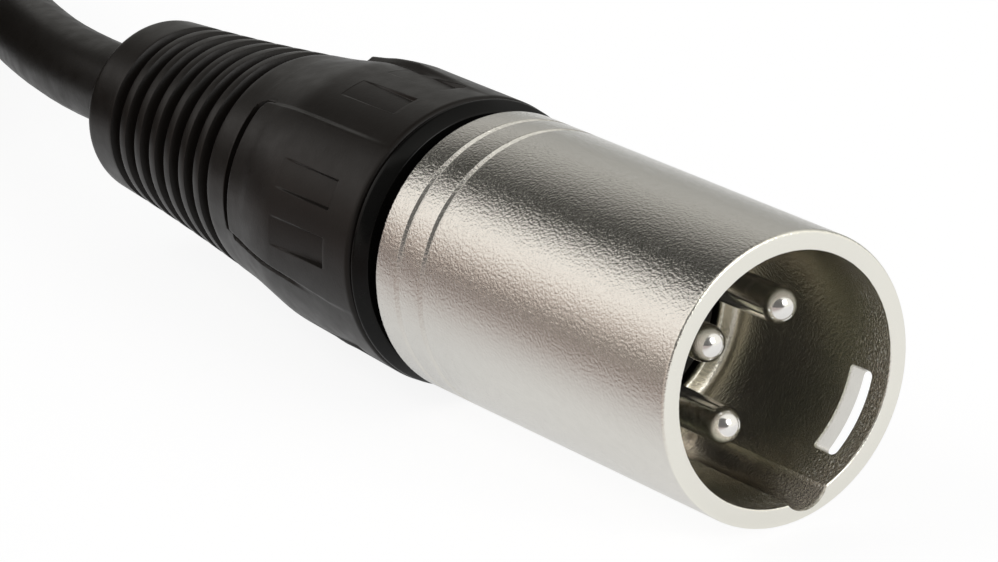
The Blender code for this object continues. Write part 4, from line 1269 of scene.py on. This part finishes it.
@dataclass
class Latch:
    """The latch lever of the female end: hook, arm, ribbed button and eye."""

    station: Station = FEMALE
    angle: float = 90.0
    front: float = 1.8
    pivot: float = 28.5
    pin_height: float = 6.3
    arm: Range = (6.55, 7.35)
    arm_width: float = 5.0
    hook_length: float = 1.4
    hook_top: float = 8.9
    button_front: float = 17.2
    button_length: float = 7.8
    button_width: float = 8.0
    button_top: float = 10.2
    ridges: int = 5
    ridge_depth: float = 0.35
    ridge_radius: float = 0.5
    ramp_angle: float = 38.0
    ramp_size: float = 2.4
    ramp_rise: float = 0.75
    edge: float = 0.12
    button_edge: float = 0.6
    button_sink: float = 0.25
    inset: float = 0.1
    pin_steps: int = 48
    eye: float = 1.2
    bore: float = 0.8

    def slab(self, name: str, heights: Range, span: Range, width: float, corner: float) -> Mesh:
        """A rounded block between two heights above the axis and two distances behind the face."""
        matrix = self.station.matrix(sum(span) / 2, sum(heights) / 2, self.angle)
        return block_mesh(name, matrix, (heights[1] - heights[0], width, span[1] - span[0]), corner)

    def cross(self, behind: float, height: float) -> Matrix:
        """A frame whose Z runs across the connector at such a place."""
        return self.station.matrix(behind, height, self.angle) @ Matrix.Rotation(math.radians(90), 4, "X")

    def hook_tool(self) -> Mesh:
        """A slanted block that gives the hook's front its run-in ramp."""
        matrix = self.station.matrix(self.front, self.hook_top + self.ramp_rise, self.angle)
        matrix = matrix @ Matrix.Rotation(math.radians(self.ramp_angle), 4, "Y")
        return block_mesh("ramp_tool", matrix, (self.ramp_size, 2 * self.arm_width, self.ramp_size))

    def build(self) -> Object:
        """Join arm, hook, button and eye, and cut the ridges, the ramp and the pin's bore."""
        mesh = self.slab("latch", self.arm, (self.front, self.pivot), self.arm_width, self.edge)
        piece = link_mesh("latch_lever_cast", mesh, LATCH_NICKEL)
        span = (self.front + self.inset, self.front + self.hook_length)
        heights = (self.arm[0] + 2 * self.inset, self.hook_top)
        hook = self.slab("hook", heights, span, self.arm_width - 2 * self.inset, self.edge)
        span = (self.button_front, self.button_front + self.button_length)
        heights = (self.arm[0] + self.button_sink, self.button_top)
        button = self.slab("button", heights, span, self.button_width, self.button_edge)
        half = self.arm_width / 2 + self.inset
        reach = 2 * self.arm_width
        pin = self.cross(self.pivot, self.pin_height)
        tools = [
            (hook, Cut.JOIN),
            (button, Cut.JOIN),
            (bar_mesh("boss", pin, -half, half, self.eye, self.pin_steps), Cut.JOIN),
            (bar_mesh("eye_bore", pin, -reach, reach, self.bore, self.pin_steps), Cut.AWAY),
            (self.hook_tool(), Cut.AWAY),
        ]
        height = self.button_top + self.ridge_radius - self.ridge_depth
        for index in range(self.ridges):
            behind = self.button_front + (index + 1) * self.button_length / (self.ridges + 1)
            place = self.cross(behind, height)
            ridge = bar_mesh("ridge_tool", place, -reach, reach, self.ridge_radius, SMALL_STEPS)
            tools.append((ridge, Cut.AWAY))
        carve(piece, tools)
        return settle(piece, Slot.NICKEL, "latch", body=Body.LATCH)


@dataclass
class FemaleShell:
    """The cast body of the female end: narrow nose, key rib, latch slot, window and ears."""

    station: Station = FEMALE
    length: float = 41.0
    outside: float = 9.5
    bore: float = 8.3
    nose: float = 7.95
    nose_length: float = 15.2
    nose_bore: float = 6.9
    nose_edge: float = 0.45
    key_angle: float = 135.5
    key_width: float = 2.2
    key_top: float = 8.6
    key_length: float = 11.0
    key_corner: float = 0.25
    window_rise: float = 1.2
    window_corner: float = 0.3
    neck_front: float = 33.4
    latch: Latch = field(default_factory=Latch)
    side_gap: float = 0.5
    travel: float = 1.3
    mouth: Range = (7.2, 10.6)
    ear_width: float = 1.6
    ear_length: float = 3.4
    ear_foot: float = 1.0
    pin_past: float = 0.15
    steps: int = 224

    def outline(self) -> Points:
        """The body's section, from the nose over the shoulder to the rear and back inside."""
        step_back = self.nose_length + self.outside - self.bore
        points = [
            (0.0, self.nose, self.nose_edge),
            (self.nose_length, self.nose, 0.15),
            (self.nose_length, self.outside, 0.5),
            *ShellRear(outside=self.outside).outline(self.length),
            (self.neck_front - FIT, ShellRear.bore, 0.1),
            (self.neck_front - 2 * FIT, self.bore, 0.1),
            (step_back, self.bore, 0.3),
            (step_back, self.nose_bore, 0.15),
            (0.0, self.nose_bore, 0.2),
        ]
        return rounded(points, ShellRear.corner_steps)

    def added(self) -> list[Tool]:
        """The key rib on the nose and the two ears that hold the latch pin."""
        latch = self.latch
        low = (self.nose_bore + self.nose) / 2
        middle = self.nose_length - self.key_length / 2
        matrix = self.station.matrix(middle, (low + self.key_top) / 2, self.key_angle)
        size = (self.key_top - low, self.key_width, self.key_length)
        tools = [(block_mesh("key_rib", matrix, size, self.key_corner), Cut.JOIN)]
        side = latch.arm_width / 2 + self.side_gap + self.ear_width / 2
        outer = math.sqrt((self.outside - FIT) ** 2 - (side + self.ear_width / 2) ** 2)
        inner = latch.pin_height - self.ear_foot
        for sign in (-1, 1):
            place = self.station.matrix(latch.pivot, (outer + inner) / 2, latch.angle)
            place = place @ Matrix.Translation((0.0, sign * side * MM, 0.0))
            size = (outer - inner, self.ear_width, self.ear_length)
            tools.append((block_mesh("ear", place, size), Cut.JOIN))
        return tools

    def cut_away(self) -> list[Tool]:
        """The slot and its mouth in the nose, the button's window and the pin's bores."""
        latch = self.latch
        gap = self.side_gap
        step_back = self.nose_length + self.outside - self.bore + FIT
        front = latch.front - gap
        width = latch.arm_width + 2 * gap
        low = latch.arm[0] - self.travel - FIT
        back = latch.button_front + latch.button_length + gap
        window = (latch.arm[0], self.outside + self.window_rise)
        button = latch.button_width + 2 * gap
        slots = (
            ("slot", (low, latch.arm[1] + gap), (front, step_back), width, 0.0),
            ("mouth", self.mouth, (front, self.nose_length), width, 0.0),
            ("window", window, (latch.button_front - gap, back), button, self.window_corner),
        )
        tools = [(latch.slab(*slot), Cut.AWAY) for slot in slots]
        reach = latch.arm_width / 2 + gap + self.ear_width + self.pin_past
        place = latch.cross(latch.pivot, latch.pin_height)
        tools.append((bar_mesh("pin_bore", place, -reach, reach, latch.bore, SMALL_STEPS), Cut.AWAY))
        return tools

    def build(self) -> Object:
        """Make, carve and settle the shell."""
        mesh = lathe("female_shell_cast", self.outline(), self.station, self.steps)
        piece = link_mesh("female_shell_cast", mesh, FEMALE_NICKEL)
        carve(piece, self.added())
        carve(piece, self.cut_away())
        return settle(piece, Slot.NICKEL, "female_shell")


@dataclass
class FemaleInsert(Insert):
    """The long insert of the female end and its three slit sockets."""

    station: Station = FEMALE
    front: float = 0.4
    boss: float = 6.6
    flange: float = 8.0
    flange_front: float = 16.7
    flange_corner: float = 0.2
    rear_length: float = 5.0
    socket: float = 1.6
    socket_bore: float = 1.25
    socket_depth: float = 12.0
    shank: float = 1.2
    slit: float = 0.4
    slit_length: float = 8.0
    arm_relief: Range = (4.95, 6.0)
    button_relief: Range = (5.9, 9.0)
    well: float = 1.6
    well_reach: Range = (-8.0, -1.7)
    beyond: float = 19.0
    latch: Latch = field(default_factory=Latch)
    contacts: Contacts = field(default_factory=lambda: Contacts(FEMALE, Latch.angle, -1))

    def moulding(self) -> Object:
        """The insert with bores for the sockets, reliefs for the latch and the spring's well."""
        outline = self.outline([(self.front, 0.0, 0.0), (self.front, self.boss, 0.3)])
        mesh = lathe("female_insert", outline, self.station, self.steps, False)
        piece = link_mesh("female_insert_moulded", mesh, INSERT_BLACK)
        tools = self.contacts.holes(self.socket + self.clearance, self.front, self.rear)
        reliefs = (
            ("arm_relief", self.arm_relief, self.front - PAST),
            ("button_relief", self.button_relief, self.flange_front - FIT),
        )
        for name, (floor, width), start in reliefs:
            relief = self.latch.slab(name, (floor, self.beyond), (start, self.rear + PAST), width, 0.0)
            tools.append((relief, Cut.AWAY))
        middle = self.latch.button_front + self.latch.button_length / 2
        upright = self.station.matrix(middle, 0.0, self.latch.angle)
        upright = upright @ Matrix.Rotation(math.radians(90), 4, "Y")
        tools.append((bar_mesh("well", upright, *self.well_reach, self.well, SMALL_STEPS), Cut.AWAY))
        carve(piece, tools)
        return settle(piece, Slot.PLASTIC, "female_insert")

    def contact_piece(self, number: int, angle: float) -> Object:
        """One socket: a tube slit at its mouth, a plain shank and an open solder cup."""
        mouth = self.front + FIT
        depth = self.front + self.socket_depth
        outline = rounded(
            [
                (mouth, self.socket, 0.15),
                (self.rear - FIT, self.socket, 0.1),
                (self.rear - FIT, self.shank, 0.0),
                *self.contacts.rear(self.rear, self.shank),
            ]
        )
        inner = np.array(((depth, 0.0), (depth, self.socket_bore), (mouth, self.socket_bore)))
        name = f"socket_{number}_turned"
        axis = self.contacts.axis(angle)
        mesh = rod_mesh(name, axis, np.vstack((outline, inner)), self.contacts.steps, True)
        piece = link_mesh(name, mesh, CONTACT_SILVER)
        place = self.station.matrix(mouth + self.slit_length / 2 - FIT, self.contacts.pitch, angle)
        slit = block_mesh("slit", place, (self.slit, 3 * self.socket, self.slit_length))
        carve(piece, [(slit, Cut.AWAY), (self.contacts.cup_tool(angle, self.rear), Cut.AWAY)])
        return settle(piece, Slot.CONTACT, f"socket_{number}")


@dataclass
class Coil:
    """The wound stretch of the cord, which lies inside the CAD coil's box."""

    cord: float = 6.0
    inner_turn: float = 26.5
    low_columns: int = 4
    high_columns: int = 3
    rows: int = 4
    lift: float = 1.4
    start: float = 90.0
    leaves: float = 280.0
    points_per_turn: int = 60
    crossing: float = 0.14
    drop: float = 0.34

    @property
    def centre(self) -> np.ndarray:
        """The coil's axis on the floor, in metres, from the CAD coil's box."""
        low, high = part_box("cable_coil")
        return np.array(((low.x + high.x) / 2, (low.y + high.y) / 2))

    def lanes(self) -> tuple[np.ndarray, np.ndarray]:
        """Radius and height of each turn: in and out up the rows, then once more down outside."""
        radii: list[float] = []
        heights: list[float] = []
        for row in range(self.rows):
            columns = self.low_columns if row == 0 else self.high_columns
            lane = [self.inner_turn + index * self.cord for index in range(columns)]
            radii += lane[::-1] if row % 2 == 0 else lane
            heights += [self.lift + self.cord / 2 + row * self.cord] * columns
        radii.append(self.inner_turn + self.high_columns * self.cord)
        heights.append(self.lift + self.cord * 1.5)
        return np.array(radii), np.array(heights)

    def points(self) -> Points:
        """The centreline: each turn keeps its lane, then eases over to the next one.

        Returns:
            Points in metres. The last whole turn moves outwards first and drops after that, and
            the turn below it is a part of one.
        """
        radii, heights = self.lanes()
        whole = len(radii) - 1
        turns = whole + (self.leaves - self.start) / 360.0
        place = np.linspace(0.0, turns, int(turns * self.points_per_turn) + 1)
        turn = np.minimum(place.astype(int), whole)
        after = np.minimum(turn + 1, whole)
        part = place - turn
        last = turn == whole - 1
        middle = 1.0 - self.drop / 2
        easy = smooth_step(part, 1.0 - self.crossing, 1.0)
        out = np.where(last, smooth_step(part, 1.0 - self.drop, middle), easy)
        down = np.where(last, smooth_step(part, middle, 1.0), easy)
        radius = (radii[turn] * (1 - out) + radii[after] * out) * MM
        height = (heights[turn] * (1 - down) + heights[after] * down) * MM
        angle = np.radians(self.start + 360.0 * place)
        x = self.centre[0] + radius * np.cos(angle)
        y = self.centre[1] + radius * np.sin(angle)
        return np.stack((x, y, height), axis=1)


def curve_through(points: Points) -> Points:
    """A smooth curve through given points, in CURVE_STEPS steps between two of them.

    Between points b and c, with a before and d after, it is half of
    2b + (c - a)t + (2a - 5b + 4c - d)t^2 + (3b - a - 3c + d)t^3.

    Args:
        points: what the curve passes through.

    Returns:
        Dense points along the curve.
    """
    route = np.vstack((2 * points[0] - points[1], points, 2 * points[-1] - points[-2]))
    a, b, c, d = (route[index : len(route) - 3 + index, None, :] for index in range(4))
    t = np.linspace(0.0, 1.0, CURVE_STEPS, endpoint=False)[None, :, None]
    bend = 2 * b + (c - a) * t + (2 * a - 5 * b + 4 * c - d) * t**2 + (3 * b - a - 3 * c + d) * t**3
    return np.vstack((bend.reshape(-1, 3) / 2, points[-1:]))


def even(points: Points, spacing: float) -> Points:
    """Points at an even spacing, in metres, along a dense curve."""
    steps = np.linalg.norm(np.diff(points, axis=0), axis=1)
    along = np.concatenate(((0.0,), np.cumsum(steps)))
    wanted = np.linspace(0.0, along[-1], int(round(along[-1] / spacing)) + 1)
    return np.stack([np.interp(wanted, along, points[:, axis]) for axis in range(3)], axis=1)


@dataclass
class Cord:
    """The whole cord: out of the male boot, round the coil and into the female boot."""

    diameter: float = 0.006
    length: float = 3.0
    jacket_inside: float = 0.0294
    spacing: float = 0.0028
    sides: int = 7
    hint: int = 5
    lead: tuple[Place, ...] = (
        (-0.0483, 0.0010, 0.0093),
        (-0.0593, 0.0040, 0.0084),
        (-0.0723, 0.0090, 0.0069),
        (-0.0863, 0.0145, 0.0054),
        (-0.1023, 0.0188, 0.0046),
    )
    tail: tuple[Place, ...] = (
        (-0.1000, -0.0665, 0.0106),
        (-0.0890, -0.0643, 0.0105),
        (-0.0790, -0.0628, 0.0100),
    )

    @staticmethod
    def boot_end(boot: str, station: Station) -> np.ndarray:
        """Where a connector's axis leaves its boot."""
        return np.array((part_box(boot)[0].x, station.axis_y, station.axis_z))

    def route(self) -> Points:
        """The centreline from inside the male boot to inside the female one."""
        inward = np.array((self.jacket_inside, 0.0, 0.0))
        start = self.boot_end("male_flex_boot", MALE)
        end = self.boot_end("female_flex_boot", FEMALE)
        wound = Coil().points()
        lead = np.vstack((start + inward, start, self.lead, wound[0], wound[self.hint]))
        tail = np.vstack((wound[-1 - self.hint], wound[-1], self.tail, end, end + inward))
        lead = curve_through(lead)[: -CURVE_STEPS - 1]
        tail = curve_through(tail)[CURVE_STEPS:]
        return np.vstack((even(lead, self.spacing), wound[1:-1], even(tail, self.spacing)))

    def build(self) -> tuple[Object, np.ndarray]:
        """Make the cord as one open curve with a round section.

        Returns:
            The curve object and the point at which it leaves the male boot.
        """
        route = self.route()
        data = bpy.data.curves.new("cord_jacket", "CURVE")
        data.dimensions = "3D"
        data.bevel_depth = self.diameter / 2
        data.bevel_resolution = self.sides
        data.use_fill_caps = True
        line = data.splines.new("POLY")
        line.points.add(len(route) - 1)
        line.points.foreach_set("co", np.column_stack((route, np.ones(len(route)))).ravel())
        line.use_smooth = True
        data.materials.append(JACKET_BLACK.material())
        piece = link_object("cord_jacket", data)
        settle(piece, Slot.JACKET, "cable_lead", "cable_coil", "cable_tail")
        return piece, self.boot_end("male_flex_boot", MALE)


@dataclass
class Tie:
    """The hook-and-loop strap round the coil, with its end pressed down on the outer side."""

    coil: Coil = field(default_factory=Coil)
    angle: float = 330.0
    width: float = 13.0
    thickness: float = 0.9
    gap: float = 0.2
    corner: float = 2.6
    shelf: float = 0.62
    slope: float = 0.45
    top_shift: float = 0.5
    lap_rows: tuple[int, int] = (12, 44)
    lap_taper: float = 0.12
    lap_narrower: float = 0.6
    edge_thinning: float = 0.35
    across_steps: int = 17

    def loop(self, grow: float) -> Points:
        """The strap's line round the bundle, as (radius, height) in millimetres.

        Args:
            grow: how far it stands off the cords.

        Returns:
            A closed line that runs up the outer side and back over the top.
        """
        coil = self.coil
        half = coil.cord / 2
        inner = coil.inner_turn - half - grow
        low = coil.inner_turn + (coil.low_columns - 1) * coil.cord + half + grow
        high = coil.inner_turn + (coil.high_columns - 1) * coil.cord + half + grow
        bottom = coil.lift - grow
        shelf = coil.lift + coil.cord * self.shelf
        top = coil.lift + coil.rows * coil.cord + grow
        corner = self.corner + grow
        return rounded(
            [
                (low, bottom, corner),
                (low, shelf, corner),
                (high, top - coil.cord * self.slope, corner),
                (high - self.top_shift, top, corner),
                (inner, top, corner),
                (inner, bottom, corner),
            ],
            9,
        )

    def band(self, line_low: Points, line_high: Points, width: float) -> Points:
        """Carry a strip's section along two lines of equal length.

        The section runs out along the lower line and back along the upper one, so the grid closes
        round its columns; rows go round the bundle.

        Args:
            line_low: the face against the cords.
            line_high: the face away from them.
            width: of the strip, in millimetres.

        Returns:
            Grid points in metres.
        """
        across = np.linspace(-0.5, 0.5, self.across_steps) * width
        puff = 1.0 - (2 * np.abs(across) / width) ** 10 * self.edge_thinning
        low = np.broadcast_to(line_low[:, None, :], (len(line_low), len(across), 2))
        high = low + (line_high - line_low)[:, None, :] * puff[None, :, None]
        section = np.concatenate((low, high[:, ::-1]), axis=1)
        side = np.concatenate((across, across[::-1]))[None]
        turn = math.radians(self.angle) + side / section[..., 0]
        x = self.coil.centre[0] + section[..., 0] * np.cos(turn) * MM
        y = self.coil.centre[1] + section[..., 0] * np.sin(turn) * MM
        return np.stack((x, y, section[..., 1] * MM), axis=-1)

    def build(self) -> Object:
        """Make the strap and the lapped end as one piece."""
        low = self.loop(self.gap)
        high = self.loop(self.gap + self.thickness)
        strap = grid_mesh("coil_strap", self.band(low, high, self.width))
        outer = slice(*self.lap_rows)
        lap_low = high[outer]
        lap_high = self.loop(self.gap + 2 * self.thickness)[outer]
        ends = np.linspace(0.0, 1.0, len(lap_low))
        thin = smooth_step(ends, 0.0, self.lap_taper) * smooth_step(-ends, -1.0, self.lap_taper - 1.0)
        lap_high = lap_low + (lap_high - lap_low) * thin[:, None]
        lap = grid_mesh("lap", self.band(lap_low, lap_high, self.width - self.lap_narrower), False)
        shape = bmesh.new()
        shape.from_mesh(strap)
        shape.from_mesh(lap)
        bmesh.ops.recalc_face_normals(shape, faces=shape.faces)
        write_back(shape, strap)
        bpy.data.meshes.remove(lap)
        piece = link_mesh("coil_strap", strap, STRAP_BLACK)
        return settle(piece, Slot.STRAP, "coil_tie")


@dataclass
class Studio:
    """Camera, floor, lamps and surroundings."""

    azimuth: float = 54.34
    elevation: float = 18.70
    lens: float = 191.2
    clip: Range = (0.01, 50.0)
    offset: Place = (0.23629, -0.19109, 0.10909)
    target: Place = (-0.01, 0.0, 0.01)
    floor_size: float = 6.0
    floor_colour: Colour = (0.86, 0.855, 0.85)
    floor_rough: float = 0.9
    glow_strength: float = 1.12
    seen_glow: float = 0.8
    mirrored_glow: float = 0.54
    # Painted shade in the floor's glow towards -Y, seen only in reflections.
    painted_shade_colour: Colour = (0.40, 0.29, 0.26)
    painted_shade_reach: Range = (-0.038, -0.012)
    fill: Colour = (0.42, 0.42, 0.42)
    front: Colour = (1.0, 0.98, 0.93)
    front_from: float = 0.4
    hole: Colour = (0.15, 0.145, 0.14)
    hole_reach: Range = (0.77, 0.80)
    room: tuple[tuple[float, Colour], ...] = (
        (2.0, (0.48, 0.48, 0.46)),
        (22.0, (0.34, 0.34, 0.32)),
        (40.0, (0.62, 0.61, 0.59)),
        (58.0, (0.46, 0.45, 0.42)),
        (76.0, (0.23, 0.22, 0.21)),
        (92.0, (0.05, 0.05, 0.045)),
        (115.0, (0.03, 0.03, 0.025)),
        (124.0, (0.98, 0.95, 0.92)),
        (148.0, (1.22, 1.16, 1.11)),
        (166.0, (0.66, 0.57, 0.52)),
        (178.0, (0.58, 0.46, 0.41)),
    )

    def back(self) -> Vector:
        """The direction from the connector to the photographer, where the tent has its opening."""
        turn, rise = math.radians(self.azimuth), math.radians(self.elevation)
        return Vector((math.sin(turn) * math.cos(rise), -math.cos(turn) * math.cos(rise), math.sin(rise)))

    def camera(self) -> Object:
        """Stand the camera off the male rim's centre, at the photograph's angle."""
        data = bpy.data.cameras.new("camera")
        data.lens = self.lens
        data.clip_start, data.clip_end = self.clip
        made = link_object("camera", data)
        turn = math.radians(self.azimuth)
        back = self.back()
        right = Vector((math.cos(turn), math.sin(turn), 0.0))
        made.matrix_world = Matrix((right, back.cross(right), back)).transposed().to_4x4()
        made.location = Vector((MALE.front_x, MALE.axis_y, MALE.axis_z)) + Vector(self.offset)
        bpy.context.scene.camera = made
        return made

    def floor(self) -> Object:
        """A pale floor that stays near white to the camera but keeps a soft shadow; to glossy rays its glow
        takes a painted shade towards -Y.
        """
        half = self.floor_size / 2
        corners = [(-half, -half, 0), (half, -half, 0), (half, half, 0), (-half, half, 0)]
        mesh = bpy.data.meshes.new("floor")
        mesh.from_pydata(corners, [], [(0, 1, 2, 3)])
        made = link_object("floor", mesh)
        material = bpy.data.materials.new("floor_pale")
        material.use_nodes = True
        nodes = material.node_tree.nodes
        graph = Graph(material.node_tree)
        plain = {"Base Color": (*self.floor_colour, 1.0), "Roughness": self.floor_rough}
        shader = graph.feed(nodes["Principled BSDF"], plain)
        rays = graph.add("ShaderNodeLightPath").outputs
        place = graph.add("ShaderNodeTexCoord").outputs["Object"]
        ahead = graph.add("ShaderNodeSeparateXYZ", {"Vector": place}).outputs["Y"]
        # Painted shade: except to the camera, the glow darkens to a pinkish tone beyond a line towards -Y.
        clear = graph.maths("MAXIMUM", graph.spread(ahead, self.painted_shade_reach), rays["Is Camera Ray"])
        hue = graph.mix(clear, self.painted_shade_colour, WHITE)
        glow = graph.add("ShaderNodeEmission", {"Color": hue, "Strength": self.glow_strength})
        seen = graph.maths("MULTIPLY", rays["Is Camera Ray"], self.seen_glow)
        share = graph.maths("MULTIPLY_ADD", rays["Is Glossy Ray"], self.mirrored_glow, seen)
        both = {0: share, 1: shader.outputs["BSDF"], 2: glow.outputs["Emission"]}
        mix = graph.add("ShaderNodeMixShader", both)
        graph.feed(nodes["Material Output"], {"Surface": mix.outputs["Shader"]})
        mesh.materials.append(material)
        return made

    def lamp(self, name: str, place: Place, size: float, power: float, mirrored: bool) -> Object:
        """A square softbox aimed at the connector.

        Args:
            name: the lamp's name.
            place: where it stands, in metres.
            size: its side, in metres.
            power: in watts.
            mirrored: whether glossy surfaces show it.

        Returns:
            The lamp.
        """
        data = bpy.data.lights.new(name, "AREA")
        data.size = size
        data.energy = power
        made = link_object(name, data)
        made.location = place
        made.visible_glossy = mirrored
        made.rotation_euler = (Vector(self.target) - Vector(place)).to_track_quat("-Z", "Y").to_euler()
        return made

    def surroundings(self) -> None:
        """A room with a bright side that metal mirrors, a plain grey for fill, white to the camera."""
        world = bpy.data.worlds.new("room")
        bpy.context.scene.world = world
        world.use_nodes = True
        graph = Graph(world.node_tree)
        place = graph.add("ShaderNodeTexCoord").outputs["Generated"]
        split = graph.add("ShaderNodeSeparateXYZ", {"Vector": place}).outputs
        turn = graph.maths("ARCTAN2", split["Z"], split["Y"])
        ramp = graph.add("ShaderNodeValToRGB", {"Fac": graph.spread(turn, (0.0, math.pi))})
        stops = ramp.color_ramp.elements
        for degrees, shade in self.room:
            stops.new(degrees / 180.0).color = (*shade, 1.0)
        stops.remove(stops[0])
        stops.remove(stops[-1])
        ahead = graph.spread(split["X"], (0.0, self.front_from))
        mirrored = graph.mix(ahead, ramp.outputs["Color"], self.front)
        toward = graph.vector("DOT_PRODUCT", place, self.back())
        opening = graph.spread(toward, self.hole_reach)
        pierced = graph.mix(opening, mirrored, self.hole)
        rays = graph.add("ShaderNodeLightPath").outputs
        metal = graph.mix(rays["Is Glossy Ray"], self.fill, pierced)
        seen = graph.mix(rays["Is Camera Ray"], metal, WHITE)
        graph.feed(world.node_tree.nodes["Background"], {"Color": seen})

    def build(self) -> None:
        """Set up everything but the camera."""
        bpy.context.scene.view_settings.view_transform = "Standard"
        self.floor()
        self.surroundings()
        self.lamp("left_softbox", (-0.45, -0.59, 0.75), 0.5, 2.0, False)
        self.lamp("mouth_fill", (0.85, 0.12, 0.42), 0.4, 2.0, True)


def main() -> None:
    """Build the scene: camera and cord first, then each connector, the tie and the studio."""
    logging.basicConfig(level=logging.INFO, format="%(name)s: %(message)s")
    studio = Studio()
    studio.camera()
    cord, leaves = Cord().build()
    strap = Tie().build()
    MaleShell().build()
    MaleInsert().build()
    BackEnd("male", MALE, MaleShell.length, MaleShell.neck_front).build()
    FemaleShell().build()
    FemaleInsert().build()
    Latch().build()
    dress("latch_pin", STEEL)
    dress("latch_spring", STEEL)
    BackEnd("female", FEMALE, FemaleShell.length, FemaleShell.neck_front).build()
    for name in ("female_gland_nut_threaded", "female_boot_moulded"):
        bpy.data.objects[name].visible_glossy = False
    studio.build()


if __name__ == "__main__":
    main()
